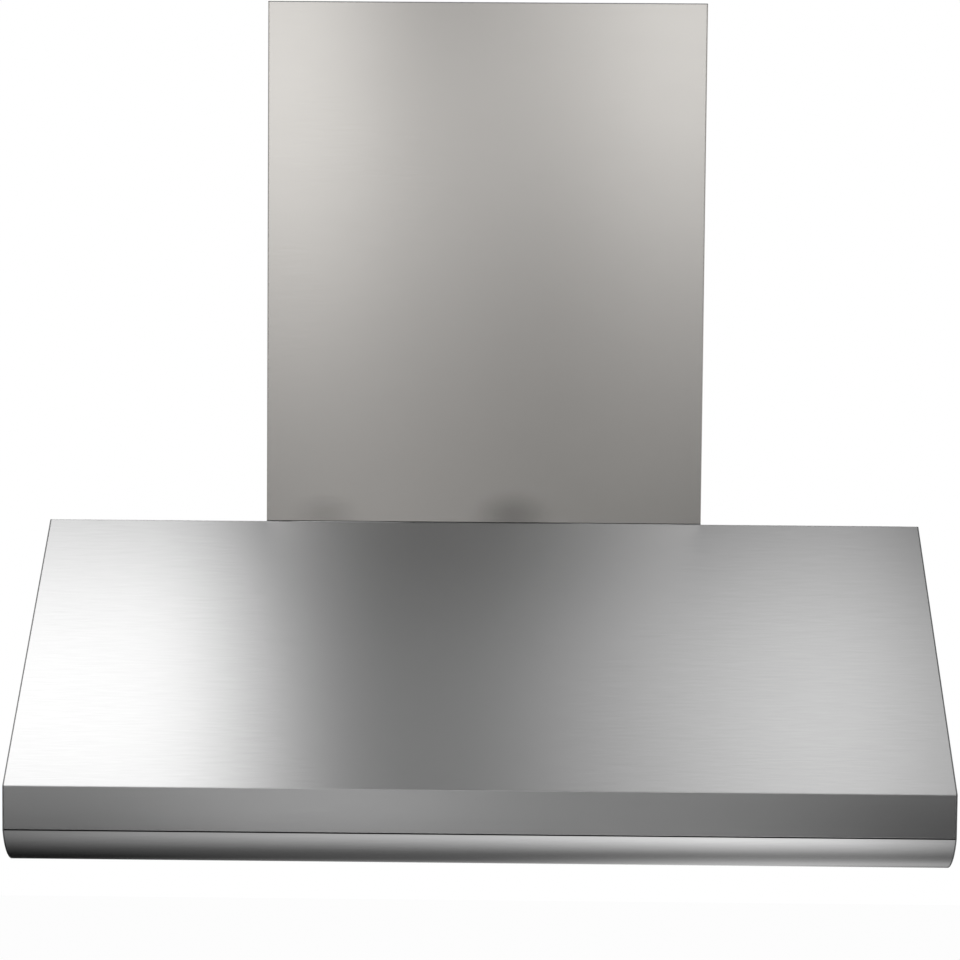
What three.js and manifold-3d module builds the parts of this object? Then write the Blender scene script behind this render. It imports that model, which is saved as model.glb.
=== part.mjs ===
// A wall-hung chimney range hood in brushed stainless steel: a canopy with a sloped front, a vertical
// fascia and a rounded nose, and a flue cover half as wide on top of it.
// Inside: a twin centrifugal blower, a discharge plenum, a duct collar with a two-flap backdraft damper,
// four baffle filters in their rails, a grease tray, four lamps and two rotary controls.
//
// Millimetres, +Z up. The wall is the plane y = 0 and the front faces -Y. The canopy is drawn with z = 0 at
// its bottom edge, and the whole hood is then lowered, so that the origin lies on the wall, midway between
// the two upper hanging slots.
// Sections are drawn as [u, v]: u is the distance from the wall, v the height above the bottom edge.

import * as THREE from "three";
import { mergeVertices } from "three/addons/utils/BufferGeometryUtils.js";
import Module from "manifold-3d";

const wasm = await Module();
wasm.setup();

const DEGREES = Math.PI / 180;

// ---------------------------------------------------------------- driving dimensions

// Canopy shell
const CANOPY_WIDTH = 1219;
const CANOPY_DEPTH = 610;
const CANOPY_HEIGHT = 443;
const TOP_DEPTH = 305; // from the wall to the front edge of the top, flush with the flue cover
const FASCIA_HEIGHT = 57;
const NOSE_DROP = 46; // height of the rounded nose under the fascia
const NOSE_BREAK = 19.3 * DEGREES; // how far the nose turns under at its upper edge
const NOSE_RETURN = 28; // flat strip behind the nose, along the bottom edge
const SHEET = 1.2; // folded stainless sheet
const SIDE_SHEET = 1.5; // side panels
const BEND = 2.5; // outer radius of a fold
const SEAM = 0.3; // gap between two pieces that lie on each other
const TOP_FLANGE = 20; // front panel's flange on the top
const FASCIA_FLANGE = 14; // flanges where fascia and nose meet
const SIDE_FLANGE = 18; // side panels' inward flange along the bottom edge

// Back panel, hanging slots and cable entry
const HANG_HEIGHT = 400; // of the hanging slots, above the bottom edge
const HANG_SPACING = 800;
const HANG_SHANK = 7; // width of the slot that the screw hangs in
const HANG_HEAD = 15; // hole that the screw's head passes
const HANG_DROP = 16; // from the head's hole up to the slot's end
const HANGER_WIDTH = 110;
const HANGER_HEIGHT = 70;
const HANGER_PLATE = 3;
const LOWER_HOLE = 7; // two fixing holes that stop the canopy from swinging
const LOWER_HOLE_HEIGHT = 160;
const TRAY_SHELF = 62; // back panel's bottom flange, which the grease tray stands on
const SHELF_LIP = 7;

// Under-canopy light panel
const PANEL_HEIGHT = 24; // of its flat strip, above the bottom edge
const PANEL_STRIP = 88; // depth of the strip
const PANEL_FLANGE = 18; // where it is fixed to the front filter rail

// Baffle filters
const FILTER_COUNT = 4;
const FILTER_TILT = 27 * DEGREES;
const FILTER_LENGTH = 300; // along the slope
const FILTER_THICKNESS = 24;
const FILTER_GAP = 2; // between filters, and beside the outer ones
const FILTER_REAR = 52; // u and v of the filters' lower rear edge
const FILTER_LOW = 92;
const FILTER_SHEET = 1;
const FILTER_LIP = 13; // frame's lip round the baffles
const BAFFLE_COUNT = 5;
const BAFFLE_WIDTH = 38;
const BAFFLE_LEG = 13;
const RAIL_CLEARANCE = 0.8;
const REAR_LIP = 8; // depth of the shallow rear rail
const DRAIN_SLOT = 40; // length of the slots that drain it
const DRAIN_WIDTH = 8;
const FRONT_LIP = 10; // how far a seated filter reaches into the front rail
const FILTER_LIFT = 14; // travel up the slope, which frees the rear edge
const HANDLE_DROP = 24;
const HANDLE_ROD = 5;
const HANDLE_BEND = 3;
const HANDLE_PLACE = 36; // up the slope from the filter's rear edge
const HANDLE_STANDOFF = 7; // of its pivot from the filter's face
const HANDLE_FIT = 0.4;
const EAR = 2.5; // thickness
const EAR_RIM = 2.4; // round the pivot's hole

// Grease tray
const TRAY_HEIGHT = 60;
const TRAY_REACH = 35; // how far its front wall leans out
const TRAY_HEM = 5;
const TRAY_CLEARANCE = 3; // to the back panel, the shelf's lip and the side panels

// Lamps
const LAMP_COUNT = 4;
const LAMP_BEZEL = 74;
const LAMP_BODY = 56;
const LAMP_HEIGHT = 34;
const LAMP_RIM = 2.6;
const LENS = 48;
const LENS_THICKNESS = 1.8;
const LAMP_SIDES = 20; // facets, alike on the housing's seat and the lens in it

// Controls
const KNOB_SPACING = 84;
const KNOB = 38;
const KNOB_LENGTH = 19;
const KNOB_GAP = 0.8; // under the panel
const KNOB_SHAFT = 6;
const KNOB_FLUTES = 8;
const SHAFT_CLEARANCE = 0.4;
const SWITCH = 26;
const SWITCH_HEIGHT = 18;
const CONTROL_BOX_WIDTH = 170;
const CONTROL_BOX_DEPTH = 62;
const CONTROL_BOX_HEIGHT = 42;

// Blower
const BLOWER_DEPTH = 150; // u of its axis
const WHEEL = 150;
const WHEEL_WIDTH = 96;
const WHEEL_BLADES = 24;
const BLADE_DEPTH = 13;
const BLADE_SHEET = 1;
const BLADE_SWEEP = 6; // how far the blade's outer edge leads its inner edge
const WHEEL_RIM = 2;
const HUB = 28;
const HUB_LENGTH = 40;
const HUB_FIT = 0.3;
const SCROLL_WIDTH = 116;
const SCROLL_START = 8; // gap between wheel and scroll at the cut-off
const SCROLL_GROWTH = 26; // how much the gap grows round the wheel
const SCROLL_INLET = 126;
const INLET_LIP = 6; // how far its rolled lip reaches in towards the wheel
const SHAFT_HOLE = 22; // where the shaft enters a scroll
const SCROLL_CUTOFF = 100 * DEGREES; // where the scroll begins, from the horizontal
const SCROLL_NECK = 5; // straight neck above the scroll's highest point
const SCROLL_FLANGE = 10;
const MOTOR = 104;
const MOTOR_LENGTH = 108;
const MOTOR_SIDES = 24; // facets, alike on the motor and the strap round it
const MOTOR_TO_SCROLL = 14;
const MOTOR_SHOULDER = 22; // radius lost at each end bell
const MOTOR_BELL = 10; // length of each end bell
const SHAFT = 10;
const BEARING_FIT = 0.4;
const CRADLE_WIDTH = 46;
const CRADLE_SHEET = 2;
const CRADLE_FOOT = 14;
const CAPACITOR = 34;
const CAPACITOR_LENGTH = 62;
const CAPACITOR_OFFSET = 30; // clear of the plenum's side
const PLENUM_HEIGHT = 56;
const PLENUM_MARGIN = 12; // round the duct's opening
const PLENUM_FLANGE = 9;

// Duct collar and backdraft damper
const DUCT_MARGIN = 25.5; // from the collar to the flue cover's front, and to the wall
const COLLAR_HEIGHT = 62;
const COLLAR_FLANGE = 12;
const DAMPER_HEIGHT = 14; // of the hinge pin above the canopy's top
const DAMPER_PIN = 4;
const DAMPER_GAP = 3; // between flap and collar
const FLAP_SHEET = 1;
const KNUCKLE = 8;
const KNUCKLE_LENGTH = 26;
const KNUCKLE_OFFSET = 62; // of a flap's two knuckles from the middle
const FLAP_STOP = 9; // width of the ledge that the closed flaps rest on
const PIN_HEAD = 2.5; // how far the pin stands out of the collar

// Flue cover
const FLUE_WIDTH = 610;
const FLUE_HEIGHT = 720;
const BRACKET_HEIGHT = 40;
const BRACKET_EAR = 46;
const BRACKET_BELOW_TOP = 24;
const CLIP_LENGTH = 130;
const CLIP_SHEET = 1.5;
const CLIP_LEG = 24;

// Wiring
const JUNCTION_WIDTH = 110;
const JUNCTION_DEPTH = 64;
const JUNCTION_HEIGHT = 84;
const JUNCTION_INSET = 109.5; // of the box's centre from the canopy's right side
const JUNCTION_RISE = 300; // of its centre above the bottom edge
const KNOCKOUT = 22;
const BUSHING_WALL = 3;
const CABLE = 8;
const CABLE_FIT = 0.5;
const CABLE_TAIL = 8; // sheathed end inside a box
const CABLE_LEAD = 12; // straight run outside an entry
const CABLE_BEND = 50; // room that a bend takes
const MOTOR_ENTRY = 22; // of a cable's entry from the back panel's face
const CONTROL_ENTRY = 44;

// ---------------------------------------------------------------- materials

function finish(name, color, metalness, roughness) {
  return new THREE.MeshStandardMaterial({ name, color, metalness, roughness });
}

const stainless = finish("brushed_stainless", 0xb9b9b8, 1, 0.32);
const flueStainless = finish("flue_stainless", 0xbcbab6, 1, 0.36);
const filterStainless = finish("filter_stainless", 0xc4c4c3, 1, 0.25);
const galvanised = finish("galvanised_steel", 0xa4a8aa, 1, 0.5);
const aluminium = finish("damper_aluminium", 0xc2c4c6, 1, 0.4);
const knobMetal = finish("knob_metal", 0xa9a9aa, 1, 0.28);
const blackPlastic = finish("black_plastic", 0x1c1c1d, 0, 0.5);
const motorPaint = finish("motor_paint", 0x3a3d40, 0, 0.5);
const lensGlass = finish("lens_glass", 0xf1efe6, 0, 0.35);
const cableSheath = finish("cable_sheath", 0x8e9193, 0, 0.6);

// ---------------------------------------------------------------- solids

const hood = new THREE.Group();

function add(name, geometry, material, parent = hood) {
  const mesh = new THREE.Mesh(geometry, material);
  mesh.name = name;
  parent.add(mesh);
  return mesh;
}

function solidOf(geometry) {
  const bare = geometry.clone();
  bare.deleteAttribute("normal");
  bare.deleteAttribute("uv");
  const merged = mergeVertices(bare, 1e-4);
  return new wasm.Manifold(
    new wasm.Mesh({
      numProp: 3,
      vertProperties: merged.attributes.position.array,
      triVerts: new Uint32Array(merged.index.array),
    }),
  );
}

// Faces that a boolean left split in one plane are merged, which keeps the facet count down.
function geometryOf(solid) {
  const { vertProperties, triVerts, numProp } = solid.asOriginal().simplify(0.002).getMesh();
  const corners = new Float32Array(triVerts.length * 3);
  triVerts.forEach((vertex, i) => {
    corners.set(vertProperties.subarray(vertex * numProp, vertex * numProp + 3), i * 3);
  });
  const geometry = new THREE.BufferGeometry();
  geometry.setAttribute("position", new THREE.BufferAttribute(corners, 3));
  geometry.computeVertexNormals();
  return geometry;
}

function join(...geometries) {
  return geometryOf(geometries.map(solidOf).reduce((all, next) => all.add(next)));
}

function cut(geometry, ...tools) {
  return geometryOf(tools.map(solidOf).reduce((rest, tool) => rest.subtract(tool), solidOf(geometry)));
}

function shapeOf(outline, holes = []) {
  const shape = new THREE.Shape(outline.map(([a, b]) => new THREE.Vector2(a, b)));
  shape.holes = holes.map((hole) => new THREE.Path(hole.map(([a, b]) => new THREE.Vector2(a, b))));
  return shape;
}

function extrude(outline, depth, holes) {
  const geometry = new THREE.ExtrudeGeometry(shapeOf(outline, holes), { depth, bevelEnabled: false });
  return geometry.translate(0, 0, -depth / 2);
}

// A [u, v] section, extruded across the hood and centred on x.
function acrossX(outline, width, x = 0, holes = []) {
  const turn = new THREE.Matrix4().makeBasis(
    new THREE.Vector3(0, -1, 0),
    new THREE.Vector3(0, 0, 1),
    new THREE.Vector3(-1, 0, 0),
  );
  return extrude(outline, width, holes).applyMatrix4(turn).translate(x, 0, 0);
}

// An [x, u] plan, extruded upwards from a height.
function upwards(outline, height, from, holes = []) {
  const turn = new THREE.Matrix4().makeBasis(
    new THREE.Vector3(1, 0, 0),
    new THREE.Vector3(0, -1, 0),
    new THREE.Vector3(0, 0, -1),
  );
  return extrude(outline, height, holes)
    .applyMatrix4(turn)
    .translate(0, 0, from + height / 2);
}

// A body turned about a vertical axis, from a profile of [radius, height] that starts and ends on the axis
// or closes on itself.
function turned(profile, sides) {
  const points = profile.map(([radius, height]) => new THREE.Vector2(radius, height));
  return new THREE.LatheGeometry(points, sides).rotateX(Math.PI / 2);
}

// A ring or washer: the profile between two radii and two heights.
function ring(inner, outer, low, high, sides) {
  return turned(
    [
      [inner, low],
      [outer, low],
      [outer, high],
      [inner, high],
      [inner, low],
    ],
    sides,
  );
}

function disc(radius, low, high, sides) {
  return turned(
    [
      [0, low],
      [radius, low],
      [radius, high],
      [0, high],
    ],
    sides,
  );
}

function box(x0, x1, u0, u1, v0, v1) {
  return new THREE.BoxGeometry(x1 - x0, u1 - u0, v1 - v0).translate(
    (x0 + x1) / 2,
    -(u0 + u1) / 2,
    (v0 + v1) / 2,
  );
}

// The points of an arc, both ends included.
function arc(centreA, centreB, radius, from, to, steps) {
  return Array.from({ length: steps + 1 }, (_, i) => {
    const angle = from + ((to - from) * i) / steps;
    return [centreA + radius * Math.cos(angle), centreB + radius * Math.sin(angle)];
  });
}

function circle(centreA, centreB, radius, steps) {
  return arc(centreA, centreB, radius, 0, 2 * Math.PI, steps).slice(0, -1);
}

// An open line with each fold rounded to a radius.
function folded(line, radius = BEND, steps = 3) {
  const points = line.map(([a, b]) => new THREE.Vector2(a, b));
  const rounded = [line[0]];
  for (let i = 1; i < points.length - 1; i++) {
    const back = points[i - 1].clone().sub(points[i]);
    const on = points[i + 1].clone().sub(points[i]);
    const half = Math.abs(back.angle() - on.angle()) / 2;
    const reach = Math.min(
      Math.abs(radius / Math.tan(half)),
      back.length() * 0.45,
      on.length() * 0.45,
    );
    const start = points[i].clone().add(back.setLength(reach));
    const end = points[i].clone().add(on.setLength(reach));
    const bend = new THREE.QuadraticBezierCurve(start, points[i], end);
    rounded.push(...bend.getPoints(steps).map((p) => [p.x, p.y]));
  }
  rounded.push(line[line.length - 1]);
  return rounded;
}

// The closed outline of a sheet. The line is one of its faces, and the sheet lies to the line's right.
function sheet(line, thickness = SHEET) {
  const points = line.map(([a, b]) => new THREE.Vector2(a, b));
  const rightOf = (p, q) => new THREE.Vector2(q.y - p.y, p.x - q.x).normalize();
  const far = points.map((point, i) => {
    const before = i ? rightOf(points[i - 1], point) : rightOf(point, points[1]);
    const after = i < points.length - 1 ? rightOf(point, points[i + 1]) : before;
    const mitre = before.clone().add(after).normalize();
    return point.clone().addScaledVector(mitre, thickness / mitre.dot(before));
  });
  return [...line, ...far.reverse().map((p) => [p.x, p.y])];
}

// A round rod or cable along a smooth curve, as a closed solid.
function rod(points, diameter, sides, steps) {
  const path = new THREE.CatmullRomCurve3(
    points.map(([x, u, v]) => new THREE.Vector3(x, -u, v)),
    false,
    "centripetal",
  );
  const section = shapeOf(circle(0, 0, diameter / 2, sides));
  return new THREE.ExtrudeGeometry(section, { steps, extrudePath: path, bevelEnabled: false });
}

// ---------------------------------------------------------------- shared places

const innerWidth = CANOPY_WIDTH - 2 * (SIDE_SHEET + SEAM);
const innerHalf = innerWidth / 2;
const noseRadius = NOSE_DROP / (1 - Math.sin(NOSE_BREAK));
const noseDepth = CANOPY_DEPTH - noseRadius * Math.cos(NOSE_BREAK); // u of the nose's lowest line
const lipDepth = noseDepth - NOSE_RETURN; // u of the nose rail's upright lip
const fasciaTop = NOSE_DROP + FASCIA_HEIGHT;
const panelFront = lipDepth - SEAM - SHEET;
const panelBack = panelFront - PANEL_STRIP;
const panelTop = PANEL_HEIGHT + SHEET;
const stripMiddle = (panelFront + panelBack) / 2;
const topUnderside = CANOPY_HEIGHT - SHEET;
const backFace = SHEET + SEAM; // first free u in front of the back panel

// A point of the filter bank: s runs up the slope from the filters' lower rear edge, n is square to it.
function onSlope(s, n) {
  return [
    FILTER_REAR + s * Math.cos(FILTER_TILT) - n * Math.sin(FILTER_TILT),
    FILTER_LOW + s * Math.sin(FILTER_TILT) + n * Math.cos(FILTER_TILT),
  ];
}

// The nose from its upper edge to its lowest line.
const noseArc = arc(noseDepth, noseRadius, noseRadius, -NOSE_BREAK, -Math.PI / 2, 18);

// ---------------------------------------------------------------- canopy shell

function frontPanel() {
  const edge = NOSE_DROP + SEAM / 2;
  const line = folded([
    [TOP_DEPTH - TOP_FLANGE, CANOPY_HEIGHT],
    [TOP_DEPTH, CANOPY_HEIGHT],
    [CANOPY_DEPTH, fasciaTop],
    [CANOPY_DEPTH, edge],
    [CANOPY_DEPTH - FASCIA_FLANGE, edge],
  ]);
  return acrossX(sheet(line), innerWidth);
}

function noseRail() {
  const edge = NOSE_DROP - SEAM / 2;
  const line = [
    [CANOPY_DEPTH - FASCIA_FLANGE, edge],
    [CANOPY_DEPTH - 0.4, edge],
    ...noseArc.slice(1),
    ...folded([
      [noseDepth - 1, 0],
      [lipDepth, 0],
      [lipDepth, PANEL_HEIGHT - SEAM],
    ]),
  ];
  return acrossX(sheet(line), innerWidth);
}

function sidePanel(side) {
  const outline = [
    [0, 0],
    ...[...noseArc].reverse(),
    [CANOPY_DEPTH, fasciaTop],
    [TOP_DEPTH, CANOPY_HEIGHT],
    [0, CANOPY_HEIGHT],
  ];
  const plate = acrossX(outline, SIDE_SHEET, side * (CANOPY_WIDTH / 2 - SIDE_SHEET / 2));
  const inner = CANOPY_WIDTH / 2 - SIDE_SHEET - SIDE_FLANGE;
  const outer = CANOPY_WIDTH / 2 - SIDE_SHEET / 2;
  const flange = box(
    side > 0 ? inner : -outer,
    side > 0 ? outer : -inner,
    TRAY_SHELF + SHEET + SEAM,
    lipDepth - SEAM,
    0,
    SHEET,
  );
  return join(plate, flange);
}

// A keyhole: the head's hole with the shank's slot above it. Its place is the slot's upper end.
function keyhole(x, height) {
  const shank = HANG_SHANK / 2;
  const head = HANG_HEAD / 2;
  const headHeight = height - HANG_DROP;
  const open = Math.asin(shank / head);
  return [
    ...arc(x, height, shank, 0, Math.PI, 6),
    ...arc(x, headHeight, head, Math.PI / 2 + open, 2.5 * Math.PI - open, 12),
  ];
}

const junctionPlace = CANOPY_WIDTH / 2 - JUNCTION_INSET;
const hangPlaces = [-1, 1].map((side) => (side * HANG_SPACING) / 2);

// A plate upright against the wall side, drawn as [x, v], between two depths.
function upright(outline, from, to, holes) {
  const turn = new THREE.Matrix4().makeBasis(
    new THREE.Vector3(1, 0, 0),
    new THREE.Vector3(0, 0, 1),
    new THREE.Vector3(0, -1, 0),
  );
  return extrude(outline, to - from, holes)
    .applyMatrix4(turn)
    .translate(0, -(from + to) / 2, 0);
}

function rectangle(a0, a1, b0, b1) {
  return [
    [a0, b0],
    [a1, b0],
    [a1, b1],
    [a0, b1],
  ];
}

function backPanel() {
  const line = folded([
    [TRAY_SHELF, SHELF_LIP],
    [TRAY_SHELF, 0],
    [0, 0],
    [0, topUnderside - SEAM],
  ]);
  const through = SHEET + 1;
  const holes = [
    ...hangPlaces.map((x) => keyhole(x, HANG_HEIGHT)),
    ...hangPlaces.map((x) => circle(x, LOWER_HOLE_HEIGHT, LOWER_HOLE / 2, 12)),
    circle(junctionPlace, JUNCTION_RISE, KNOCKOUT / 2, 16),
  ];
  const cutters = holes.map((hole) => upright(hole, -1, through, []));
  return cut(acrossX(sheet(line), innerWidth), ...cutters);
}

function hangerPlate(x) {
  const outline = rectangle(
    x - HANGER_WIDTH / 2,
    x + HANGER_WIDTH / 2,
    HANG_HEIGHT - HANG_DROP / 2 - HANGER_HEIGHT / 2,
    HANG_HEIGHT - HANG_DROP / 2 + HANGER_HEIGHT / 2,
  );
  return upright(outline, backFace, backFace + HANGER_PLATE, [keyhole(x, HANG_HEIGHT)]);
}

const ductMiddle = TOP_DEPTH / 2;
const ductOuter = ductMiddle - DUCT_MARGIN; // radius of the collar
const ductInner = ductOuter - SHEET;

function topPanel() {
  const outline = rectangle(-innerHalf, innerHalf, 0, TOP_DEPTH - TOP_FLANGE - SEAM);
  return upwards(outline, SHEET, topUnderside, [circle(0, ductMiddle, ductInner, 32)]);
}

// The front rail's end wall, and the light panel's flange behind it.
const railEnd = FILTER_LENGTH + FILTER_LIFT + RAIL_CLEARANCE;
const railUnder = -RAIL_CLEARANCE - SHEET;
const frontRailFoot = onSlope(railEnd + SHEET + SEAM, railUnder);
const frontRailUp = onSlope(railEnd + SHEET + SEAM, railUnder + PANEL_FLANGE);

const lampPlaces = Array.from(
  { length: LAMP_COUNT },
  (_, i) => ((i + 0.5) / LAMP_COUNT - 0.5) * innerWidth,
);
const knobPlaces = [-1, 1].map((side) => (side * KNOB_SPACING) / 2);

function lightPanel() {
  const line = folded([
    [panelFront, SHELF_LIP],
    [panelFront, PANEL_HEIGHT],
    [panelBack, PANEL_HEIGHT],
    frontRailFoot,
    frontRailUp,
  ]);
  const through = (x, diameter, sides) =>
    disc(diameter / 2, PANEL_HEIGHT - 1, panelTop + 1, sides).translate(x, -stripMiddle, 0);
  return cut(
    acrossX(sheet(line), innerWidth),
    ...lampPlaces.map((x) => through(x, LAMP_BODY + 2 * SHAFT_CLEARANCE, 24)),
    ...knobPlaces.map((x) => through(x, KNOB_SHAFT + 2 * SHAFT_CLEARANCE, 12)),
  );
}

// ---------------------------------------------------------------- filters and grease tray

// Shallow channel on the back panel that carries the filters' lower edge, with slots that drain it.
function rearFilterRail() {
  const wallFace = backFace + SHEET;
  const bridge = onSlope(-RAIL_CLEARANCE, FILTER_THICKNESS + RAIL_CLEARANCE);
  const line = folded([
    [wallFace, bridge[1] + PANEL_FLANGE],
    [wallFace, bridge[1]],
    bridge,
    onSlope(-RAIL_CLEARANCE, -RAIL_CLEARANCE),
    onSlope(REAR_LIP, -RAIL_CLEARANCE),
  ]);
  const corner = onSlope(0, railUnder);
  const slots = filterPlaces.flatMap((x) =>
    [-1, 1].map((side) => {
      const middle = x + (side * filterWidth) / 4;
      return box(
        middle - DRAIN_SLOT / 2,
        middle + DRAIN_SLOT / 2,
        corner[0] - 0.75 * DRAIN_WIDTH,
        corner[0] + 0.25 * DRAIN_WIDTH,
        corner[1] - DRAIN_WIDTH / 2,
        corner[1] + DRAIN_WIDTH / 2,
      );
    }),
  );
  return cut(acrossX(sheet(line), innerWidth), ...slots);
}

// Deep channel that the filters' upper edge is pushed into.
function frontFilterRail() {
  const mouth = FILTER_LENGTH - FRONT_LIP;
  const line = folded([
    onSlope(mouth, -RAIL_CLEARANCE),
    onSlope(railEnd, -RAIL_CLEARANCE),
    onSlope(railEnd, FILTER_THICKNESS + RAIL_CLEARANCE),
    onSlope(mouth, FILTER_THICKNESS + RAIL_CLEARANCE),
  ]);
  return acrossX(sheet(line), innerWidth);
}

const filterWidth = (innerWidth - (FILTER_COUNT + 1) * FILTER_GAP) / FILTER_COUNT;
const filterPlaces = Array.from(
  { length: FILTER_COUNT },
  (_, i) => (i - (FILTER_COUNT - 1) / 2) * (filterWidth + FILTER_GAP),
);

const bafflePitch = (filterWidth - 2 * FILTER_LIP) / BAFFLE_COUNT;

// Between the inner faces of a handle's ears, which stand on the lower baffles beside the middle.
const handleSpan = bafflePitch * (BAFFLE_COUNT % 2 ? 2 : 3) - BAFFLE_WIDTH / 2;

// A frame with two rows of channels: the lower ones open upwards, and the upper ones hang into them from
// above. Drawn flat, with its lower rear edge on the x axis, and set on the slope by its group.
function baffleFilter() {
  const half = filterWidth / 2;
  const inset = (edge) => rectangle(-half + edge, half - edge, edge, FILTER_LENGTH - edge);
  const walls = upwards(inset(0), FILTER_THICKNESS, 0, [inset(FILTER_SHEET)]);
  const lips = [0, FILTER_THICKNESS - FILTER_SHEET].map((low) =>
    upwards(inset(0), FILTER_SHEET, low, [inset(FILTER_LIP)]),
  );
  const channel = (x, flip) => {
    const left = Math.max(x - BAFFLE_WIDTH / 2, -half) + FILTER_SHEET;
    const right = Math.min(x + BAFFLE_WIDTH / 2, half) - FILTER_SHEET;
    const line = [
      [left, BAFFLE_LEG],
      [left, FILTER_SHEET],
      [right, FILTER_SHEET],
      [right, BAFFLE_LEG],
    ];
    const outline = sheet(line, FILTER_SHEET).map(([a, b]) => [a, flip ? FILTER_THICKNESS - b : b]);
    return upright(outline, FILTER_SHEET / 2, FILTER_LENGTH - FILTER_SHEET / 2);
  };
  const lower = Array.from({ length: BAFFLE_COUNT }, (_, i) =>
    channel((i - (BAFFLE_COUNT - 1) / 2) * bafflePitch, false),
  );
  const upper = Array.from({ length: BAFFLE_COUNT + 1 }, (_, i) =>
    channel((i - BAFFLE_COUNT / 2) * bafflePitch, true),
  );
  return join(walls, ...lips, ...lower, ...upper, ear(-1), ear(1));
}

const earHole = HANDLE_ROD / 2 + HANDLE_FIT;

function ear(side) {
  const reach = earHole + EAR_RIM;
  const outline = [
    [HANDLE_PLACE + reach, FILTER_SHEET / 2],
    [HANDLE_PLACE - reach, FILTER_SHEET / 2],
    ...arc(HANDLE_PLACE, -HANDLE_STANDOFF, reach, Math.PI, 2 * Math.PI, 8),
  ];
  const middle = side * (handleSpan / 2 + EAR / 2);
  return acrossX(outline, EAR, middle, [circle(HANDLE_PLACE, -HANDLE_STANDOFF, earHole, 12)]);
}

const handlePivot = onSlope(HANDLE_PLACE, -HANDLE_STANDOFF);

// A wire bail that hangs straight down from its ears.
function filterHandle(x) {
  const [u, v] = handlePivot;
  const leg = handleSpan / 2 - HANDLE_BEND;
  const tip = handleSpan / 2 + EAR + 2;
  const line = folded(
    [
      [-tip, 0],
      [-leg, 0],
      [-leg, -HANDLE_DROP],
      [leg, -HANDLE_DROP],
      [leg, 0],
      [tip, 0],
    ],
    HANDLE_BEND,
    4,
  );
  const points = line.map(([a, b]) => [x + a, u, v + b]);
  return rod(points, HANDLE_ROD, 6, 20);
}

function greaseTray() {
  const low = SHEET + SEAM;
  const rear = SHEET + TRAY_CLEARANCE;
  const front = TRAY_SHELF - SHEET - TRAY_CLEARANCE;
  const lean = SHELF_LIP + TRAY_CLEARANCE;
  const rim = low + TRAY_HEIGHT - SHEET;
  const width = innerWidth - 2 * TRAY_CLEARANCE;
  const line = folded([
    [front + TRAY_REACH + TRAY_HEM, rim],
    [front + TRAY_REACH, rim],
    [front, lean],
    [front, low],
    [rear, low],
    [rear, rim + SHEET],
  ]);
  const end = folded([
    [front + TRAY_REACH, rim],
    [front, lean],
    [front, low],
    [rear, low],
    [rear, rim],
  ]);
  const ends = [-1, 1].map((side) => acrossX(end, SHEET, (side * (width - SHEET)) / 2));
  return join(acrossX(sheet(line), width), ...ends);
}

// ---------------------------------------------------------------- lamps and controls

const lampFace = PANEL_HEIGHT - SEAM - LAMP_RIM;
const lensSeat = lampFace + LENS_THICKNESS + SEAM;

function lampHousing() {
  const top = lampFace + LAMP_HEIGHT;
  return turned(
    [
      [0, lensSeat],
      [LENS / 2 + SEAM, lensSeat],
      [LENS / 2 + SEAM, lampFace],
      [LAMP_BEZEL / 2 - 1, lampFace],
      [LAMP_BEZEL / 2, lampFace + 1],
      [LAMP_BEZEL / 2, lampFace + LAMP_RIM],
      [LAMP_BODY / 2, lampFace + LAMP_RIM],
      [LAMP_BODY / 2 - 2, top],
      [0, top],
    ],
    LAMP_SIDES,
  );
}

function lampLens() {
  return disc(LENS / 2, lampFace, lampFace + LENS_THICKNESS, LAMP_SIDES);
}

const knobTop = PANEL_HEIGHT - KNOB_GAP;
const knobFace = knobTop - KNOB_LENGTH;
const switchFoot = panelTop + SEAM;

// A fluted grip on a plain skirt, with a pointer rib on its face and a bore for the shaft.
function knob() {
  const grip = arc(0, 0, 1, 0, 2 * Math.PI, 4 * KNOB_FLUTES)
    .slice(0, -1)
    .map(([a, b], i) => {
      const radius = KNOB / 2 - (i % 4 === 0 ? 2.4 : 1.2);
      return [a * radius, b * radius];
    });
  const body = extrude(grip, KNOB_LENGTH).translate(0, 0, knobTop - KNOB_LENGTH / 2);
  const skirt = disc(KNOB / 2, knobTop - 3, knobTop, 24);
  const pointer = box(-1.2, 1.2, 2, KNOB / 2 - 3, knobFace - 1.2, knobFace + 1);
  const bore = disc(KNOB_SHAFT / 2 + SEAM, knobFace + 5, knobTop + 1, 12);
  return cut(join(body, skirt, pointer), bore);
}

function knobShaft() {
  return disc(KNOB_SHAFT / 2, knobFace + 5 + SEAM, switchFoot + SWITCH_HEIGHT * 0.7, 12);
}

function rotarySwitch() {
  const half = SWITCH / 2;
  const body = box(-half, half, -half, half, switchFoot, switchFoot + SWITCH_HEIGHT);
  const terminals = [-1, 0, 1].map((i) =>
    box(i * 7 - 2, i * 7 + 2, -0.4, 0.4, switchFoot + SWITCH_HEIGHT - 1, switchFoot + SWITCH_HEIGHT + 7),
  );
  const depth = switchFoot + SWITCH_HEIGHT * 0.7 + SEAM;
  return cut(join(body, ...terminals), disc(KNOB_SHAFT / 2 + SHAFT_CLEARANCE, switchFoot - 1, depth, 12));
}

// Cover over the switches, open at the bottom, with a hole at its right end for the cable.
function controlBox() {
  const half = CONTROL_BOX_WIDTH / 2;
  const rear = stripMiddle - CONTROL_BOX_DEPTH / 2;
  const front = stripMiddle + CONTROL_BOX_DEPTH / 2;
  const top = switchFoot + CONTROL_BOX_HEIGHT;
  const shell = box(-half, half, rear, front, switchFoot, top);
  const hollow = box(
    -half + SHEET,
    half - SHEET,
    rear + SHEET,
    front - SHEET,
    switchFoot - 1,
    top - SHEET,
  );
  return cut(shell, hollow, cableHole(half, stripMiddle, controlCableHeight));
}

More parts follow.
